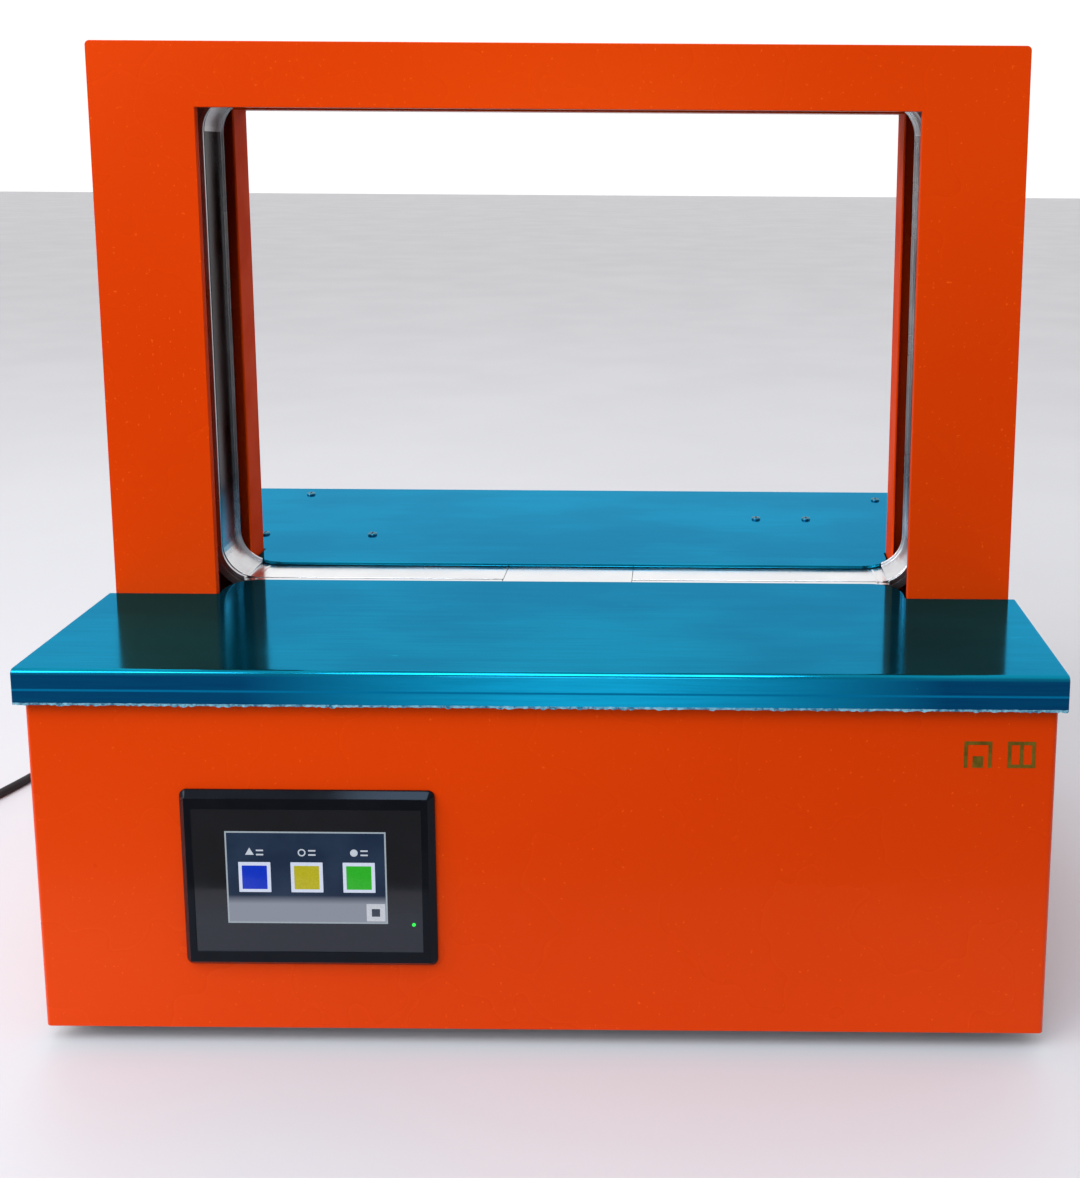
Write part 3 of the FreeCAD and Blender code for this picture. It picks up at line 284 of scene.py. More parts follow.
def blue_film():
    """Blue protective film over bright steel: deep in itself, with a cyan shine, paler where it has
    lifted; the folded lips carry painted shade, darker than the tops, and a painted reflection, one
    light patch in the lip's middle."""
    t = Tree("blue_film")
    grain = t.noise(60.0, 6.0, 0.6, t.stretched(0.25, 9.0, 9.0))
    patches = t.noise(6.0, 3.0, 0.55, t.stretched(1.0, 1.7, 1.0))
    top_tone = t.mix(t.between(patches, 0.0, 1.0), tuple(colours().film), tuple(colours().film_light))
    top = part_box("front_table")[1].z
    # Painted shade: below on_top the lips take a deeper blue than the tops.
    on_top = t.span(t.along("Z"), top - 3.2 * MM, top - 1.0 * MM)
    # Painted reflection: a lighter patch round the lip's middle stands in for a lamp shining in it.
    light = t.span(t.absolute(t.shifted(t.along("X"), -0.03)), 0.20, 0.02)
    lip_painted_shade_and_highlight = t.mix(light, (0.0, 0.040, 0.125), (0.006, 0.42, 0.72))
    groove = t.span(t.absolute(t.shifted(t.along("Z"), 12.0 * MM - top)), 0.9 * MM, 0.35 * MM)
    lip_painted_shade_and_highlight = t.mix(groove, lip_painted_shade_and_highlight, (0.0, 0.16, 0.34))
    base = t.mix(on_top, lip_painted_shade_and_highlight, top_tone)
    base = t.mix(t.between(grain, 0.0, 0.25), base, (0.0, 0.10, 0.20))
    rubs = t.ramp(t.noise(38.0, 8.0, 0.7, t.stretched(1.0, 3.5, 1.0)),
                  [(0.68, (0.0, 0.0, 0.0)), (0.74, (1.0, 1.0, 1.0))])
    t.put("Base Color", t.mix(rubs, base, (0.05, 0.45, 0.60)))
    t.put("Metallic", t.between(t.shifted(t.maths("MULTIPLY", on_top, 0.4), 0.3), 0.25, 0.93))
    t.put("Specular Tint", (0.06, 0.72, 1.0))
    t.put("Roughness", t.between(patches, 0.07, 0.13))
    t.put("Coat Weight", 0.03)
    t.put("Coat Roughness", 0.05)
    t.bump((patches, 0.06, 1.2 * MM), (grain, 0.06, 0.06 * MM))
    return t.material


def filmed_screws():
    """Screw heads seen through the film."""
    return plated("filmed_screws", (0.03, 0.22, 0.34), (0.01, 0.10, 0.18), 0.25)


def torn_film():
    """The film's torn rim: clouded where it is stretched, blue where it isn't."""
    t = Tree("torn_film")
    stretched = t.noise(240.0, 4.0, 0.7)
    t.put("Base Color", t.mix(t.between(stretched, 0.0, 1.0), (0.0, 0.08, 0.16), (0.22, 0.50, 0.62)))
    t.put("Roughness", t.between(stretched, 0.2, 0.45))
    t.bump((stretched, 0.3, 0.1 * MM))
    return t.material


def polished_steel():
    """Rolled strip, black up the sides and bright along the bottom run, with hairlines."""
    t = Tree("polished_steel")
    hair = t.noise(80.0, 6.0, 0.7, t.stretched(0.4, 14.0, 0.4))
    smear = t.noise(16.0, 4.0)
    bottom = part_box("anvil_plate")[1].z
    # The strip is bright near the bottom run and black higher up; the tone changes with height only.
    bright_bottom_run = t.span(t.shifted_by(t.along("Z"), smear, 0.05), bottom + 0.060, bottom + 0.028)
    bright = t.mix(t.between(smear, 0.0, 0.4), (0.86, 0.86, 0.87), (0.66, 0.66, 0.68))
    black = t.mix(t.between(smear, 0.0, 1.0), (0.022, 0.022, 0.024), (0.045, 0.043, 0.045))
    t.put("Base Color", t.mix(bright_bottom_run, black, bright))
    t.put("Metallic", 1.0)
    t.put("Roughness", t.between(smear, 0.16, 0.28))
    t.bump((hair, 0.10, 0.05 * MM))
    return t.material


def bright_edge():
    """Bare steel on the track's lips."""
    return plated("bright_edge", (0.70, 0.70, 0.71), (0.50, 0.50, 0.52), 0.24)


def plated(name, light, dark, rough, grain=(1.0, 1.0, 1.0), scale=70.0):
    """Plated or ground metal: a drifting tone, and fine marks stretched along its grain."""
    t = Tree(name)
    marks = t.noise(scale, 6.0, 0.65, t.stretched(*grain))
    spots = t.voronoi(55.0)
    tone = t.mix(t.between(marks, 0.0, 0.6), light, dark)
    t.put("Base Color", t.mix(t.between(spots, 0.25, 0.0), tone, dark))
    t.put("Metallic", 1.0)
    t.put("Roughness", t.between(t.noise(20.0, 3.0), rough, rough + 0.16))
    t.bump((marks, 0.16, 0.06 * MM))
    return t.material


def zinc_steel():
    return plated("zinc_steel", (0.56, 0.57, 0.58), (0.36, 0.37, 0.40), 0.30, (1.0, 1.0, 6.0))


def dark_steel():
    return plated("dark_steel", (0.13, 0.13, 0.14), (0.05, 0.05, 0.06), 0.38)


def tool_steel():
    return plated("tool_steel", (0.48, 0.48, 0.49), (0.28, 0.28, 0.30), 0.22, (1.0, 8.0, 1.0), 110.0)


def cast_aluminium():
    """Die-cast metal with a sandy skin."""
    t = Tree("cast_aluminium")
    sand = t.noise(900.0, 2.0)
    tone = t.noise(24.0, 3.0)
    t.put("Base Color", t.mix(t.between(tone, 0.0, 1.0), (0.58, 0.59, 0.61), (0.44, 0.45, 0.47)))
    t.put("Metallic", 0.9)
    t.put("Roughness", t.between(tone, 0.42, 0.58))
    t.bump((sand, 0.25, 0.10 * MM))
    return t.material


def spring_steel():
    return plated("spring_steel", (0.50, 0.50, 0.52), (0.30, 0.30, 0.33), 0.20)


def moulded(name, light, dark, rough, pebble=0.18, scale=1400.0):
    """Moulded plastic or rubber: a fine pebbled skin and slow changes of tone and shine."""
    t = Tree(name)
    skin = t.voronoi(scale)
    tone = t.noise(18.0, 4.0)
    t.put("Base Color", t.mix(t.between(tone, 0.0, 1.0), light, dark))
    t.put("Roughness", t.between(tone, rough, rough + 0.12))
    t.put("Specular IOR Level", 0.25)
    t.bump((tone, 0.06, 0.4 * MM), (skin, pebble, 0.05 * MM))
    return t.material


def black_plastic():
    return moulded("black_plastic", (0.014, 0.014, 0.017), (0.008, 0.008, 0.010), 0.26, 0.05)


def black_rubber():
    return moulded("black_rubber", (0.022, 0.022, 0.023), (0.012, 0.012, 0.013), 0.5, 0.25)


def grey_rubber():
    return moulded("grey_rubber", (0.20, 0.20, 0.21), (0.13, 0.13, 0.14), 0.6, 0.3)


def white_plastic():
    return moulded("white_plastic", (0.80, 0.80, 0.77), (0.70, 0.70, 0.68), 0.38, 0.1)


def bezel_gloss():
    """The touch screen's frame: gloss black moulding with faint swirls from wiping."""
    t = Tree("bezel_gloss")
    swirl = t.noise(26.0, 5.0, 0.6)
    t.put("Base Color", t.mix(t.between(swirl, 0.0, 1.0), (0.002, 0.002, 0.003), (0.004, 0.004, 0.006)))
    t.put("Roughness", t.between(swirl, 0.06, 0.12))
    t.put("Specular IOR Level", 0.17)
    t.put("Specular Tint", (0.62, 0.78, 1.0))
    t.bump((swirl, 0.03, 0.2 * MM))
    return t.material


def screen_glass():
    """Glossy black cover sheet with a trace of finger grease, and a painted reflection that makes its
    lower half paler grey-blue.
    """
    t = Tree("screen_glass")
    grease = t.noise(30.0, 5.0, 0.6)
    low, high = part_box("hmi_screen")
    # Painted reflection: below the middle the glass turns paler grey-blue, standing in for the bench
    # reflected in it.
    haze = t.span(t.along("Z"), (low.z + high.z) / 2 + 1.0 * MM, (low.z + high.z) / 2 - 24.0 * MM)
    clear = t.mix(t.between(grease, 0.0, 1.0), (0.001, 0.001, 0.002), (0.003, 0.003, 0.005))
    t.put("Base Color", t.mix(haze, clear, (0.010, 0.013, 0.022)))
    t.put("Roughness", t.between(grease, 0.05, 0.09))
    t.put("Specular IOR Level", 0.42)
    t.bump((grease, 0.03, 0.2 * MM))
    return t.material


def tape_film():
    """Wound translucent film: fine rings round the reel's axis, one for each few turns."""
    t = Tree("tape_film")
    mapping = t.nodes.new("ShaderNodeMapping")
    low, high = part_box("tape_roll")
    centre = (low + high) / 2
    mapping.inputs["Location"].default_value = (-centre.x, 0.0, -centre.z)
    t.links.new(t.place, mapping.inputs["Vector"])
    rings = t.nodes.new("ShaderNodeTexWave")
    rings.wave_type, rings.rings_direction = "RINGS", "Y"
    rings.inputs["Scale"].default_value = 260.0
    rings.inputs["Distortion"].default_value = 0.6
    rings.inputs["Detail"].default_value = 1.0
    t.links.new(mapping.outputs["Vector"], rings.inputs["Vector"])
    wound = rings.outputs["Fac"]
    t.put("Base Color", t.mix(wound, (0.70, 0.73, 0.76), (0.86, 0.88, 0.90)))
    t.put("Roughness", t.between(t.noise(30.0), 0.18, 0.32))
    t.put("Coat Weight", 0.3)
    t.bump((wound, 0.2, 0.08 * MM))
    return t.material


def green_board():
    """Lacquered circuit board with the shadow of its tracks."""
    t = Tree("green_board")
    tracks = t.voronoi(190.0, "DISTANCE_TO_EDGE", t.stretched(1.0, 1.0, 0.2))
    lines = t.ramp(tracks, [(0.04, (1.0, 1.0, 1.0)), (0.07, (0.0, 0.0, 0.0))])
    t.put("Base Color", t.mix(lines, (0.010, 0.10, 0.035), (0.03, 0.22, 0.08)))
    t.put("Roughness", t.between(t.noise(50.0), 0.25, 0.4))
    t.bump((lines, 0.2, 0.05 * MM))
    return t.material


def lit(name, colour, dim):
    """A lit patch of the screen, with the panel's faint grid of dots, under dark glass."""
    t = Tree(name)
    dots = t.voronoi(1000.0)
    haze = t.noise(40.0)
    t.put("Base Color", t.mix(t.between(haze, 0.0, 1.0), (0.002, 0.002, 0.003), (0.004, 0.004, 0.006)))
    t.put("Emission Color", t.mix(t.between(dots, 0.0, 0.5), colour, dim))
    t.put("Emission Strength", 1.0)
    t.put("Specular IOR Level", 0.2)
    t.put("Roughness", t.between(haze, 0.15, 0.25))
    t.bump((dots, 0.04, 0.02 * MM))
    return t.material


def picture_ground():
    """The lit picture's dark blue ground, paler towards its lower third."""
    t = Tree("picture_ground")
    low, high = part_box("hmi_screen")
    step = t.nodes.new("ShaderNodeMapRange")
    step.inputs["From Min"].default_value = low.z + 0.34 * (high.z - low.z)
    step.inputs["From Max"].default_value = low.z + 0.40 * (high.z - low.z)
    t.links.new(t.along("Z"), step.inputs["Value"])
    haze = t.noise(45.0, 3.0)
    upper = t.mix(t.between(haze, 0.0, 1.0), (0.006, 0.018, 0.046), (0.012, 0.028, 0.062))
    t.put("Base Color", t.mix(t.between(haze, 0.0, 1.0), (0.002, 0.002, 0.003), (0.004, 0.004, 0.006)))
    t.put("Emission Color", t.mix(step.outputs["Result"], (0.24, 0.26, 0.32), upper))
    t.put("Emission Strength", 1.0)
    t.put("Specular IOR Level", 0.2)
    t.put("Roughness", 0.16)
    t.bump((haze, 0.02, 0.1 * MM))
    return t.material


def gold_print():
    """Gold transfer print."""
    return plated("gold_print", (0.40, 0.27, 0.035), (0.10, 0.07, 0.01), 0.34, (1.0, 1.0, 1.0), 200.0)


def stage_floor():
    t = Tree("stage_floor")
    cloud = t.noise(1.3, 3.0)
    base = tuple(colours().floor)
    t.put("Base Color", t.mix(t.between(cloud, 0.0, 1.0), base, tuple(c * 0.97 for c in base)))
    t.put("Roughness", t.between(t.noise(4.0), 0.42, 0.52))
    t.put("Specular IOR Level", 0.25)
    t.bump((t.noise(160.0, 3.0), 0.03, 0.3 * MM))
    return t.material


def room_floor():
    """The dim floor of the room, lower than the bench."""
    t = Tree("room_floor")
    cloud = t.noise(2.0, 3.0)
    t.put("Base Color", t.mix(t.between(cloud, 0.0, 1.0), (0.21, 0.21, 0.22), (0.20, 0.20, 0.21)))
    t.put("Roughness", t.between(cloud, 0.5, 0.6))
    t.bump((t.noise(90.0), 0.05, 0.5 * MM))
    return t.material


FINISHES = (
    orange_paint, inner_paint, blue_film, filmed_screws, torn_film, bezel_gloss, screen_glass,
    picture_ground, polished_steel, bright_edge, zinc_steel, dark_steel, tool_steel, spring_steel,
    cast_aluminium, black_plastic, white_plastic, black_rubber, grey_rubber, tape_film, green_board,
    gold_print, stage_floor, room_floor,
)


def finish_of(name):
    """The material of that name, made the first time it is asked for."""
    return bpy.data.materials.get(PREFIX + name) or {f.__name__: f for f in FINISHES}[name]()


# ------------------------------------------------------------------ modelling helpers
def only(obj):
    """Selects obj and nothing else, and makes it active."""
    if bpy.context.object is not None and bpy.context.object.mode != "OBJECT":
        bpy.ops.object.mode_set(mode="OBJECT")
    bpy.ops.object.select_all(action="DESELECT")
    obj.select_set(True)
    bpy.context.view_layer.objects.active = obj
    return obj


def settle(obj, name, material, body="base", smooth=35.0):
    """Puts a finished piece's place into its mesh, and names, paints and mounts it."""
    only(obj)
    bpy.ops.object.transform_apply(location=True, rotation=True, scale=True)
    obj.name = name
    obj.data.name = name
    obj.data.materials.clear()
    obj.data.materials.append(material if not isinstance(material, str) else finish_of(material))
    if smooth is not None:
        bpy.ops.object.shade_smooth_by_angle(angle=math.radians(smooth))
    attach(obj, body)
    return obj


def flatten_panels(obj, least=40e-6):
    """Large faces are flat sheet: their shading doesn't follow the rounded edges beside them."""
    for face in obj.data.polygons:
        if face.area > least:
            face.use_smooth = False


def block(low, high, bevel=0.0, segments=2):
    """A box between two corners, with its edges rounded in edit mode."""
    low, high = Vector(low), Vector(high)
    bpy.ops.object.select_all(action="DESELECT")
    bpy.ops.mesh.primitive_cube_add(size=1.0, location=(low + high) / 2)
    obj = bpy.context.object
    obj.dimensions = high - low
    bpy.ops.object.transform_apply(location=True, rotation=True, scale=True)
    if bevel > 0:
        bpy.ops.object.mode_set(mode="EDIT")
        bpy.ops.mesh.select_all(action="SELECT")
        bpy.ops.mesh.bevel(offset=bevel, segments=segments, affect="EDGES")
        bpy.ops.object.mode_set(mode="OBJECT")
    return obj


def disc(radius, depth, centre, axis="Z", vertices=32, bevel=0.0):
    turns = {"X": (0.0, math.pi / 2, 0.0), "Y": (math.pi / 2, 0.0, 0.0), "Z": (0.0, 0.0, 0.0)}
    bpy.ops.object.select_all(action="DESELECT")
    bpy.ops.mesh.primitive_cylinder_add(vertices=vertices, radius=radius, depth=depth, location=centre,
                                        rotation=turns[axis])
    obj = bpy.context.object
    bpy.ops.object.transform_apply(location=True, rotation=True, scale=True)
    if bevel > 0:
        add_bevel(obj, bevel, 2)
    return obj


def add_bevel(obj, width, segments, angle=30.0):
    only(obj)
    bevel = obj.modifiers.new("round", "BEVEL")
    bevel.width, bevel.segments = width, segments
    bevel.limit_method, bevel.angle_limit = "ANGLE", math.radians(angle)
    bevel.use_clamp_overlap = False
    bpy.ops.object.modifier_apply(modifier=bevel.name)


def merged(objects):
    """Joins several new pieces into the first one."""
    only(objects[0])
    for other in objects[1:]:
        other.select_set(True)
    bpy.ops.object.join()
    return objects[0]


def rounded_copy(node, width, segments=2, merge_facets=True):
    """A copy of a CAD node with its edges rounded, which stands for the node."""
    source = frame["nodes"][node]
    obj = bpy.data.objects.new(node + "_finished", source.data.copy())
    bpy.context.scene.collection.objects.link(obj)
    only(obj)
    bpy.ops.object.mode_set(mode="EDIT")
    bpy.ops.mesh.select_all(action="SELECT")
    bpy.ops.mesh.remove_doubles(threshold=1e-6)
    if merge_facets:
        bpy.ops.mesh.dissolve_limited(angle_limit=math.radians(0.5))
    bpy.ops.object.mode_set(mode="OBJECT")
    add_bevel(obj, width, segments)
    slot = slot_of(node)
    settle(obj, obj.name, slot, source["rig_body"])
    flatten_panels(obj)
    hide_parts(node)
    return obj


def slot_of(node):
    for part in frame["record"]["subparts"]:
        if part["node"] == node:
            return part["material_slot"]
    raise ValueError("no material slot for " + node)


# ------------------------------------------------------------------ casing
PAINTED = ("body_shell", "arch_front_cover", "arch_rear_cover", "rear_panel", "rear_door")
FILMED = ("front_table", "rear_deck")
RAILS = ("track_front_rail", "track_rear_rail", "anvil_plate")
STRIP_THICK, STRIP_CORNER = 1.5 * MM, 25.5 * MM
JAMB_REACH = 55.0 * MM


class BANDING_OT_casing(bpy.types.Operator):
    """Round the folded edges of the painted casing"""
    bl_idname = "banding.casing"
    bl_label = "Painted casing"

    def execute(self, context):
        for node in PAINTED:
            obj = rounded_copy(node, sizes().edge_round)
            if node.startswith("arch"):
                matt_returns(obj)
        return {"FINISHED"}


def matt_returns(cover):
    """The sides that face each other across the arch's opening carry the matt coat."""
    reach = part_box("body_shell")[1].x - JAMB_REACH
    cover.data.materials.append(finish_of("inner_paint"))
    for face in cover.data.polygons:
        if abs(face.normal.x) > 0.9 and face.normal.x * face.center.x < 0 and abs(face.center.x) < reach:
            face.material_index = 1


class BANDING_OT_tables(bpy.types.Operator):
    """Round the two filmed tables and tear the film along their lips"""
    bl_idname = "banding.tables"
    bl_label = "Filmed tables"

    def execute(self, context):
        for node in FILMED:
            rounded_copy(node, sizes().edge_round)
        torn_film_rim()
        return {"FINISHED"}


def torn_film_rim():
    """The film's ragged rim along the front table's lip: a strip whose low row is torn unevenly."""
    low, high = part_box("front_table")
    thick = sizes().film_thickness
    height = 1.8 * MM
    bpy.ops.object.select_all(action="DESELECT")
    bpy.ops.mesh.primitive_grid_add(
        x_subdivisions=420, y_subdivisions=3, size=1.0, rotation=(math.pi / 2, 0.0, 0.0),
        location=((low.x + high.x) / 2, low.y - thick, low.z + height / 2 - 0.5 * MM))
    rim = bpy.context.object
    rim.scale = (high.x - low.x - 1.0 * MM, height, 1.0)
    bpy.ops.object.transform_apply(location=True, rotation=True, scale=True)
    torn = rim.vertex_groups.new(name="torn")
    floor_line = min(v.co.z for v in rim.data.vertices)
    for vertex in rim.data.vertices:
        up = (vertex.co.z - floor_line) / height
        torn.add([vertex.index], 1.0 - 0.75 * up, "REPLACE")
    tear = bpy.data.textures.new("film_tear", "CLOUDS")
    tear.noise_scale, tear.noise_depth, tear.noise_type = 5.0 * MM, 4, "HARD_NOISE"
    pull = rim.modifiers.new("tear", "DISPLACE")
    pull.texture, pull.vertex_group, pull.direction = tear, "torn", "Z"
    pull.strength, pull.mid_level = -2.6 * MM, 0.50
    bpy.ops.object.modifier_apply(modifier=pull.name)
    solid = rim.modifiers.new("thick", "SOLIDIFY")
    solid.thickness, solid.offset = thick, 1.0
    bpy.ops.object.modifier_apply(modifier=solid.name)
    settle(rim, "film_rim", "torn_film", "base", None)


class BANDING_OT_rails(bpy.types.Operator):
    """Polish the tape track's rails"""
    bl_idname = "banding.rails"
    bl_label = "Track rails"

    def execute(self, context):
        for node in RAILS:
            rail = rounded_copy(node, 0.2 * MM, 2)
            if node != "anvil_plate":
                brighten_lips(rail)
        return {"FINISHED"}


def brighten_lips(rail):
    """Gives the faces that stand inside the strip's inner face the bare metal of the lips."""
    rail.data.materials.append(finish_of("bright_edge"))
    low = Vector([min(v.co[i] for v in rail.data.vertices) for i in range(3)])
    high = Vector([max(v.co[i] for v in rail.data.vertices) for i in range(3)])
    middle = (low + high) / 2
    half = (high - low) / 2
    for face in rail.data.polygons:
        away = face.center - middle
        x, z = abs(away.x), abs(away.z)
        into_x, into_z = x - (half.x - STRIP_CORNER), z - (half.z - STRIP_CORNER)
        if into_x > 0 and into_z > 0:
            depth = STRIP_CORNER - math.hypot(into_x, into_z)
        else:
            depth = min(half.x - x, half.z - z)
        if depth > STRIP_THICK + 0.05 * MM:
            face.material_index = 1


# ------------------------------------------------------------------ touch screen
PICTURE_X, PICTURE_Z = (-0.1828, -0.0898), (0.0822, 0.1392)
PICTURE_LINE = 0.9 * MM
FIRST_KEY_X, KEYS_Z, KEY_RIM = -0.1662, 0.1110, 2.0 * MM
SIGN_ABOVE_KEY = 6.0 * MM
PAGE_KEY_X, PAGE_KEY_Z = (-0.1020, -0.0912), (0.0838, 0.0946)
PAGE_KEY_INSET = 3.0 * MM
LAMP_X, LAMP_Z, LAMP_RADIUS = -0.0747, 0.0818, 1.1 * MM


class BANDING_OT_touch_screen(bpy.types.Operator):
    """Bezel, picture, keys and lamp of the touch screen"""
    bl_idname = "banding.touch_screen"
    bl_label = "Touch screen"

    def execute(self, context):
        bezel = rounded_copy("hmi_bezel", 0.25 * MM, 2, merge_facets=False)
        bezel.data.materials[0] = finish_of("bezel_gloss")
        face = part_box("hmi_screen")[0].y
        low, high = (Vector((x, face, z)) for x, z in zip(PICTURE_X, PICTURE_Z))
        picture(low, high, face)
        keys(face)
        lamp(face)
        return {"FINISHED"}


def picture(low, high, face):
    ground = block((low.x, face - 0.05 * MM, low.z), (high.x, face + 0.2 * MM, high.z))
    settle(ground, "picture_ground", "picture_ground", "base", None)
    width = PICTURE_LINE
    border = lit("picture_border", (0.34, 0.40, 0.45), (0.28, 0.33, 0.38))
    bars = []
    for x in (low.x, high.x - width):
        bars.append(block((x, face - 0.08 * MM, low.z), (x + width, face, high.z)))
    for z in (low.z, high.z - width):
        bars.append(block((low.x, face - 0.08 * MM, z), (high.x, face, z + width)))
    settle(merged(bars), "picture_border", border, "base", None)


KEY_COLOURS = {
    "blue": ((0.0, 0.030, 0.52), (0.0, 0.024, 0.42)),
    "yellow": ((0.46, 0.42, 0.010), (0.38, 0.34, 0.008)),
    "green": ((0.022, 0.42, 0.015), (0.018, 0.34, 0.012)),
}


def keys(face):
    frame_metal = lit("key_frame", (0.62, 0.68, 0.84), (0.54, 0.60, 0.75))
    side = sizes().key_side
    for i, (colour, (bright, dim)) in enumerate(KEY_COLOURS.items()):
        x = FIRST_KEY_X + i * sizes().key_pitch
        rim = block((x - side / 2, face - 0.30 * MM, KEYS_Z - side / 2),
                    (x + side / 2, face, KEYS_Z + side / 2), 0.25 * MM)
        settle(rim, "key_frame_" + colour, frame_metal, "base")
        inner = side / 2 - KEY_RIM
        key = block((x - inner, face - 0.55 * MM, KEYS_Z - inner),
                    (x + inner, face - 0.2 * MM, KEYS_Z + inner), 0.3 * MM)
        settle(key, "key_" + colour, lit("key_" + colour, bright, dim), "base")
        key_sign(i, x, KEYS_Z + side / 2 + SIGN_ABOVE_KEY, face)
    (x0, x1), (z0, z1), inset = PAGE_KEY_X, PAGE_KEY_Z, PAGE_KEY_INSET
    small = block((x0, face - 0.2 * MM, z0), (x1, face, z1), 0.15 * MM)
    settle(small, "page_key", lit("page_key", (0.55, 0.58, 0.64), (0.45, 0.48, 0.54)), "base")
    mark = block((x0 + inset, face - 0.3 * MM, z0 + inset), (x1 - inset, face - 0.1 * MM, z1 - inset),
                 0.15 * MM)
    settle(mark, "page_key_mark", lit("page_mark", (0.05, 0.06, 0.09), (0.03, 0.04, 0.06)), "base")


def key_sign(index, x, z, face):
    """A small plain sign over each key: feed arrow, reset ring, run dot, each beside two bars."""
    ink = bpy.data.materials.get(PREFIX + "sign_ink")
    if ink is None:
        ink = lit("sign_ink", (0.55, 0.60, 0.68), (0.45, 0.50, 0.58))
    tick = 0.10 * MM
    parts = []
    for step in (0.0, 2.6):
        parts.append(block((x + 1.2 * MM, face - tick, z - (1.8 - step) * MM),
                           (x + 5.4 * MM, face, z - (0.9 - step) * MM)))
    if index == 0:
        parts.append(disc(2.9 * MM, 3 * tick, (x - 2.6 * MM, face, z), "Y", 3))
    elif index == 1:
        bpy.ops.object.select_all(action="DESELECT")
        bpy.ops.mesh.primitive_torus_add(major_radius=1.9 * MM, minor_radius=0.4 * MM, major_segments=24,
                                         minor_segments=6, location=(x - 2.6 * MM, face, z),
                                         rotation=(math.pi / 2, 0, 0))
        parts.append(bpy.context.object)
    else:
        parts.append(disc(2.2 * MM, 2 * tick, (x - 2.6 * MM, face, z), "Y", 20))
    for part in parts:
        only(part)
        bpy.ops.object.transform_apply(location=True, rotation=True, scale=True)
    settle(merged(parts), "key_sign_%d" % (index + 1), ink, "base", None)


def lamp(face):
    led = disc(LAMP_RADIUS, 0.5 * MM, (LAMP_X, face - 0.1 * MM, LAMP_Z), "Y", 20, 0.15 * MM)
    settle(led, "power_lamp", lit("power_lamp", (0.05, 1.2, 0.12), (0.03, 0.9, 0.08)), "base")


# ------------------------------------------------------------------ badge
SIGN_X, SIGN_Z, SIGN_SIDE, SIGN_GAP = 0.2425, 0.1790, 16.0 * MM, 9.0 * MM
SIGN_LINE, SIGN_PROUD = 2.1 * MM, 0.12 * MM


class BANDING_OT_badge(bpy.types.Operator):
    """A plain gold sign on the front, an arch and a parcel"""
    bl_idname = "banding.badge"
    bl_label = "Gold sign"

    def execute(self, context):
        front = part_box("body_shell")[0].y
        x, z, side, line = SIGN_X, SIGN_Z, SIGN_SIDE, SIGN_LINE
        x2 = x + side + SIGN_GAP
        arch = [(x, z, x + line, z + side - line), (x + side - line, z, x + side, z + side - line),
                (x, z + side - line, x + side, z + side), (x + 5 * MM, z, x + 11 * MM, z + 7 * MM)]
        parcel = [(x2, z, x2 + side, z + line), (x2, z + side - line, x2 + side, z + side),
                  (x2, z + line, x2 + line, z + side - line),
                  (x2 + side - line, z + line, x2 + side, z + side - line),
                  (x2 + side / 2 - line / 2, z + line, x2 + side / 2 + line / 2, z + side - line)]
        parts = [block((left, front - SIGN_PROUD, low), (right, front + 0.1 * MM, high))
                 for left, low, right, high in arch + parcel]
        settle(merged(parts), "gold_sign", "gold_print", "base", None)
        return {"FINISHED"}


# ------------------------------------------------------------------ mains lead
LEAD_ROUTE = [
    (-225.0, 221.0, 62.0), (-225.0, 242.0, 62.0), (-228.0, 264.0, 52.0), (-234.0, 281.0, 35.0),
    (-245.0, 292.0, 17.0), (-264.0, 297.0, 5.5), (-292.0, 293.5, 3.5), (-327.0, 283.0, 3.5),
    (-362.0, 266.0, 3.5), (-396.0, 240.0, 3.5), (-425.0, 208.0, 3.5), (-448.0, 172.0, 3.5),
    (-463.0, 141.0, 3.5), (-474.0, 111.0, 3.5), (-487.0, 81.0, 3.5), (-496.5, 50.0, 3.5),
    (-499.5, 26.0, 3.5), (-499.5, 12.0, 3.5),
]
TAIL_ROUTE = [
    (-545.0, -30.0, 9.6), (-565.0, -31.0, 10.4), (-585.0, -40.5, 11.6), (-599.5, -57.0, 12.5),
    (-606.0, -78.0, 12.5), (-606.0, -96.0, 12.5),
]
COIL_CENTRE = (-545.0, 12.0)
COIL_LOW, COIL_HIGH = (45.5, 38.5, 31.5), (35.0, 42.0)
POINTS_A_TURN = 16


def coil_points():
    """Clockwise turns: three on the bench from the outside in, then nearly two on top going out.
    From their end the lead crosses the coil straight to its tail."""
    radii = COIL_LOW + COIL_HIGH
    low_z, high_z = 3.5, 3.5 + 7.0 * math.sqrt(3) / 2
    points = []
    turns = len(radii) - 0.25
    steps = int(turns * POINTS_A_TURN)
    for i in range(1, steps):
        turned = i / POINTS_A_TURN
        ring = min(int(turned), len(radii) - 1)
        into = turned - ring
        after = radii[min(ring + 1, len(radii) - 1)]
        ease = max(0.0, (into - 0.75) / 0.25)
        radius = radii[ring] + (after - radii[ring]) * ease
        z = low_z if ring < 2 else high_z
        if ring == 2:
            z = low_z + (high_z - low_z) * ease
        angle = -2 * math.pi * turned
        points.append((COIL_CENTRE[0] + radius * math.cos(angle),
                       COIL_CENTRE[1] + radius * math.sin(angle), z))
    return points


def lead_curve(points):
    curve = bpy.data.curves.new("mains_lead_flex", "CURVE")
    curve.dimensions = "3D"
    spline = curve.splines.new("NURBS")
    spline.points.add(len(points) - 1)
    for point, place in zip(spline.points, points):
        point.co = (*[c * MM for c in place], 1.0)
    spline.order_u = 3
    spline.use_endpoint_u = True
    curve.resolution_u = 6
    curve.bevel_depth = sizes().lead_diameter / 2
    curve.bevel_resolution = 5
    curve.use_fill_caps = True
    return bpy.data.objects.new("mains_lead_flex", curve)


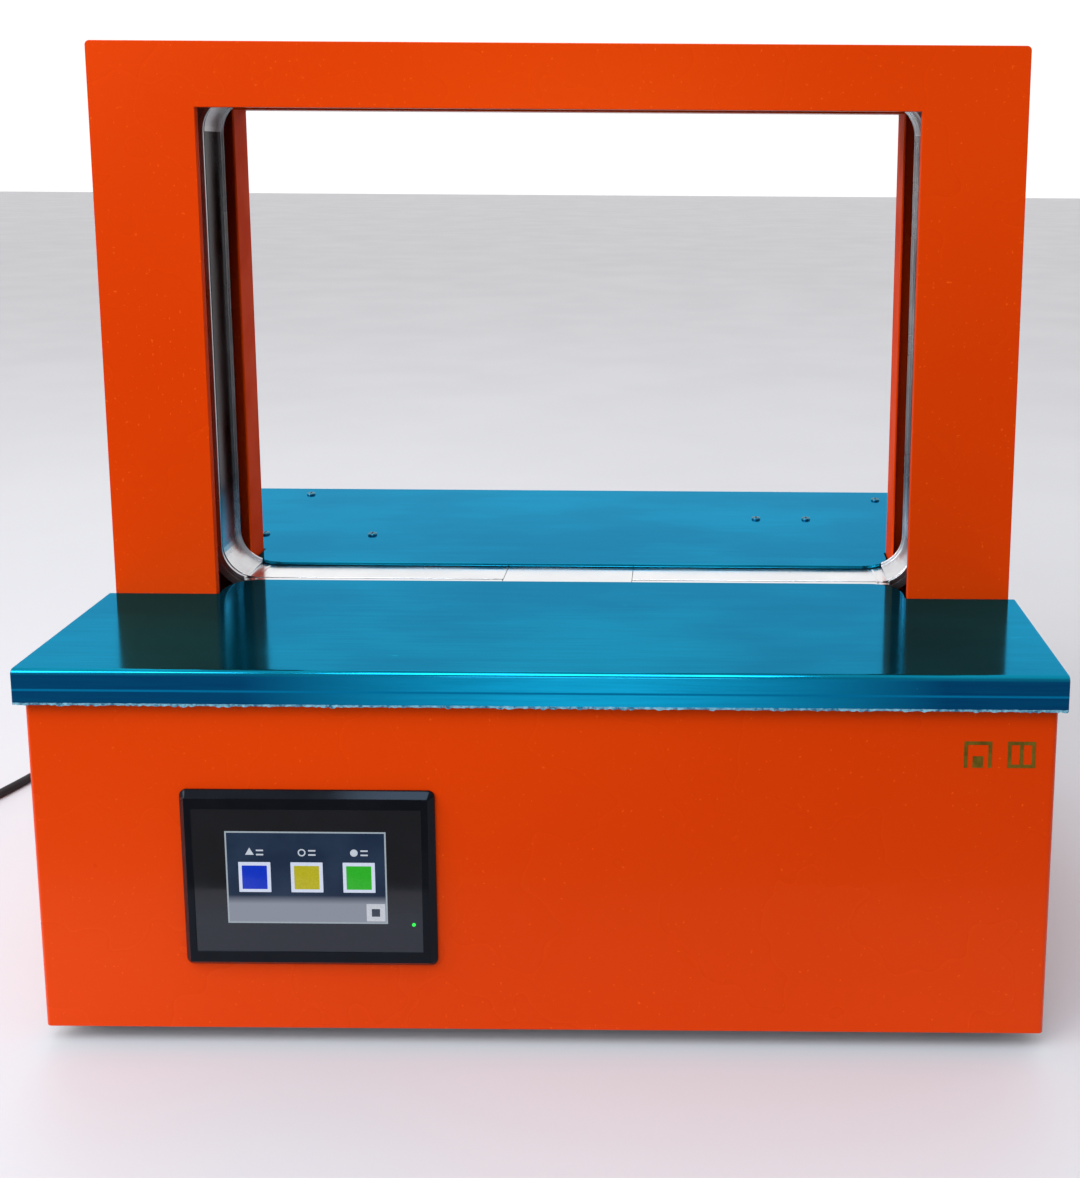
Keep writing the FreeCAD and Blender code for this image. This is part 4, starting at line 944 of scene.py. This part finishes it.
def curve_length(obj):
    """Length of the curve's own line."""
    depth = obj.data.bevel_depth
    obj.data.bevel_depth = 0.0
    bpy.context.view_layer.update()
    mesh = bpy.data.meshes.new_from_object(obj.evaluated_get(bpy.context.evaluated_depsgraph_get()))
    obj.data.bevel_depth = depth
    bpy.context.view_layer.update()
    places = [v.co.copy() for v in mesh.vertices]
    bpy.data.meshes.remove(mesh)
    return sum((b - a).length for a, b in zip(places, places[1:]))


class BANDING_OT_mains_lead(bpy.types.Operator):
    """The mains lead from its gland to its plug, with the spare length coiled"""
    bl_idname = "banding.mains_lead"
    bl_label = "Mains lead"

    def execute(self, context):
        obj = lead_curve(LEAD_ROUTE + coil_points() + TAIL_ROUTE)
        context.scene.collection.objects.link(obj)
        obj.data.materials.append(finish_of("black_rubber"))
        length = curve_length(obj)
        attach(obj, "base")
        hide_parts("mains_lead", "mains_lead_coil")
        plug = rounded_copy("mains_plug", 0.5 * MM, 2)
        relief = rounded_copy("strain_relief", 0.4 * MM, 2)
        tie = coil_tie()
        print("mains lead length %.3f m" % length)
        return {"FINISHED"}


def coil_tie():
    """A flat tie among the coil's turns, on the side away from where the lead comes in."""
    bpy.ops.object.select_all(action="DESELECT")
    middle = (COIL_CENTRE[0] - 38.5) * MM
    bpy.ops.mesh.primitive_torus_add(major_radius=10.5 * MM, minor_radius=0.9 * MM, major_segments=40,
                                     minor_segments=8, location=(middle, COIL_CENTRE[1] * MM, 6.6 * MM),
                                     rotation=(math.pi / 2, 0.0, 0.0))
    tie = bpy.context.object
    tie.dimensions = (24.0 * MM, 1.8 * MM, 13.2 * MM)
    return settle(tie, "coil_tie", "black_rubber", "base")


# ------------------------------------------------------------------ return springs
class BANDING_OT_springs(bpy.types.Operator):
    """Wind the return springs of the sealing head's tools"""
    bl_idname = "banding.springs"
    bl_label = "Return springs"

    def execute(self, context):
        low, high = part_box("return_springs")
        wire, radius = 0.6 * MM, 8.0 * MM
        y = (low.y + high.y) / 2
        first = low.x + radius + wire
        pitch = (high.x - low.x - 2 * (radius + wire)) / 3
        parts = [wound_spring(first + i * pitch, y, low.z + wire, high.z - wire, radius, wire)
                 for i in range(4)]
        springs = merged(parts)
        settle(springs, "return_springs_wound", "spring_steel", "base")
        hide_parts("return_springs")
        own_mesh(springs)
        return {"FINISHED"}


def wound_spring(x, y, low_z, high_z, radius, wire, turns=5):
    """A round wire wound up a screw line."""
    bpy.ops.object.select_all(action="DESELECT")
    bpy.ops.mesh.primitive_circle_add(vertices=8, radius=wire, location=(x + radius, y, low_z),
                                      rotation=(math.pi / 2, 0.0, 0.0))
    obj = bpy.context.object
    bpy.ops.object.transform_apply(location=True, rotation=True, scale=True)
    pivot = bpy.data.objects.new("spring_pivot", None)
    bpy.context.scene.collection.objects.link(pivot)
    pivot.location = (x, y, 0.0)
    screw = obj.modifiers.new("wind", "SCREW")
    screw.object = pivot
    screw.angle = 2 * math.pi * turns
    screw.screw_offset = high_z - low_z
    screw.steps = screw.render_steps = 24 * turns
    bpy.context.view_layer.update()
    bpy.ops.object.modifier_apply(modifier=screw.name)
    bpy.data.objects.remove(pivot)
    bpy.ops.object.mode_set(mode="EDIT")
    bpy.ops.mesh.select_all(action="SELECT")
    bpy.ops.mesh.normals_make_consistent(inside=False)
    bpy.ops.object.mode_set(mode="OBJECT")
    return obj


# ------------------------------------------------------------------ frame finishes
class BANDING_OT_plain_nodes(bpy.types.Operator):
    """Give every frame piece that keeps its shape its own finish"""
    bl_idname = "banding.plain_nodes"
    bl_label = "Frame finishes"

    def execute(self, context):
        for name, obj in frame["nodes"].items():
            material = finish_of("filmed_screws" if name == "deck_screws" else slot_of(name))
            if not obj.data.materials:
                obj.data.materials.append(material)
            for place in obj.material_slots:
                place.material = material
        return {"FINISHED"}


# ------------------------------------------------------------------ stage
LIGHTS = (
    # name, place, aim, side, power, tone
    ("key_light", (-1.7, -1.35, 1.5), (0.0, 0.0, 0.25), 1.5, 46.0, (1.0, 1.0, 1.0)),
    ("window_light", (-0.15, -1.18, 1.9), (0.0, 0.0, 0.2), 0.9, 17.0, (0.74, 0.88, 1.0)),
    ("low_fill", (-0.1, -2.1, 0.3), (0.0, 0.0, 0.2), 0.6, 3.0, (1.0, 1.0, 1.0)),
    ("back_light", (-0.6, 1.3, 2.8), (0.0, 0.0, 0.3), 1.6, 9.0, (1.0, 1.0, 1.0)),
)


class BANDING_OT_stage(bpy.types.Operator):
    """Pale bench, soft studio light and the camera"""
    bl_idname = "banding.stage"
    bl_label = "Stage"

    def execute(self, context):
        floor()
        for row in LIGHTS:
            light_box(*row)
        world(context)
        camera(context)
        return {"FINISHED"}


BENCH_EDGE, BENCH_THICK, ROOM_DROP = -0.372, 40.0 * MM, 0.75


def floor():
    """A wide pale bench top that ends a little in front of the machine, over a dim room floor."""
    bench = block((-9.0, BENCH_EDGE, -BENCH_THICK), (9.0, 14.0, 0.0), 4.0 * MM, 3)
    bench.name = "stage_floor"
    bench.data.materials.append(finish_of("stage_floor"))
    bpy.ops.object.select_all(action="DESELECT")
    bpy.ops.mesh.primitive_plane_add(size=40.0, location=(0.0, 0.0, -ROOM_DROP))
    ground = bpy.context.object
    ground.name = "room_floor"
    ground.data.materials.append(finish_of("room_floor"))


def light_box(name, place, aim, side, power, tone):
    data = bpy.data.lights.new(name, "AREA")
    data.energy, data.size, data.color = power, side, tone
    lamp_object = bpy.data.objects.new(name, data)
    lamp_object.location = place
    lamp_object.rotation_euler = (Vector(aim) - Vector(place)).to_track_quat("-Z", "Y").to_euler()
    bpy.context.scene.collection.objects.link(lamp_object)


def world(context):
    """A pale room: brightest behind and above the machine, dimmer behind the viewer."""
    surround = bpy.data.worlds.new("pale_room")
    surround.use_nodes = True
    nodes, links = surround.node_tree.nodes, surround.node_tree.links
    place = nodes.new("ShaderNodeTexCoord").outputs["Generated"]
    weigh = nodes.new("ShaderNodeVectorMath")
    weigh.operation = "DOT_PRODUCT"
    weigh.inputs[1].default_value = (-0.15, 0.45, 0.35)
    links.new(place, weigh.inputs[0])
    ramp = nodes.new("ShaderNodeValToRGB")
    for element, (position, tone) in zip(ramp.color_ramp.elements, (
            (0.20, (0.36, 0.37, 0.40, 1.0)), (0.72, (1.0, 1.0, 1.0, 1.0)))):
        element.position, element.color = position, tone
    lift = nodes.new("ShaderNodeMath")
    lift.operation = "ADD"
    lift.inputs[1].default_value = 0.5
    links.new(weigh.outputs["Value"], lift.inputs[0])
    links.new(lift.outputs["Value"], ramp.inputs["Fac"])
    links.new(ramp.outputs["Color"], nodes["Background"].inputs["Color"])
    nodes["Background"].inputs["Strength"].default_value = 1.05
    context.scene.world = surround


CAMERA_PLACE = (0.0827, -0.8997, 0.5299)
CAMERA_PITCH, CAMERA_YAW, CAMERA_ROLL = 0.1427, 0.0021, 0.0064
CAMERA_LENS, CAMERA_SHIFT = 39.73, (-0.1236, -0.2150)


def camera(context):
    data = bpy.data.cameras.new("view")
    data.lens, data.sensor_width = CAMERA_LENS, 36.0
    data.shift_x, data.shift_y = CAMERA_SHIFT
    data.clip_start, data.clip_end = 0.05, 100.0
    eye = bpy.data.objects.new("view", data)
    eye.location = CAMERA_PLACE
    turn = Matrix.Rotation(CAMERA_YAW, 4, "Z") @ Matrix.Rotation(math.pi / 2 - CAMERA_PITCH, 4, "X")
    eye.rotation_euler = (turn @ Matrix.Rotation(CAMERA_ROLL, 4, "Z")).to_euler()
    context.scene.collection.objects.link(eye)
    context.scene.camera = eye
    context.scene.view_settings.view_transform = "Standard"
    context.scene.view_settings.look = "None"


# ------------------------------------------------------------------ panel and registration
STEPS = (BANDING_OT_stage, BANDING_OT_mains_lead, BANDING_OT_plain_nodes, BANDING_OT_casing,
         BANDING_OT_tables, BANDING_OT_rails, BANDING_OT_touch_screen, BANDING_OT_badge,
         BANDING_OT_springs)


class BANDING_PT_panel(bpy.types.Panel):
    """Lists the machine's settings and the steps that build it"""
    bl_label = "Banding machine"
    bl_idname = "BANDING_PT_panel"
    bl_space_type = "VIEW_3D"
    bl_region_type = "UI"
    bl_category = "Banding machine"

    def draw(self, context):
        column = self.layout.column()
        for name in BandingSizes.__annotations__:
            column.prop(context.scene.banding_sizes, name)
        for name in BandingColours.__annotations__:
            column.prop(context.scene.banding_colours, name)
        for step in STEPS:
            column.operator(step.bl_idname)


CLASSES = (BandingSizes, BandingColours, *STEPS, BANDING_PT_panel)


def register():
    for cls in CLASSES:
        bpy.utils.register_class(cls)
    bpy.types.Scene.banding_sizes = bpy.props.PointerProperty(type=BandingSizes)
    bpy.types.Scene.banding_colours = bpy.props.PointerProperty(type=BandingColours)


def unregister():
    del bpy.types.Scene.banding_colours
    del bpy.types.Scene.banding_sizes
    for cls in reversed(CLASSES):
        bpy.utils.unregister_class(cls)


def main():
    register()
    for step in STEPS:
        group, action = step.bl_idname.split(".")
        getattr(getattr(bpy.ops, group), action)()


if __name__ == "__main__":
    main()
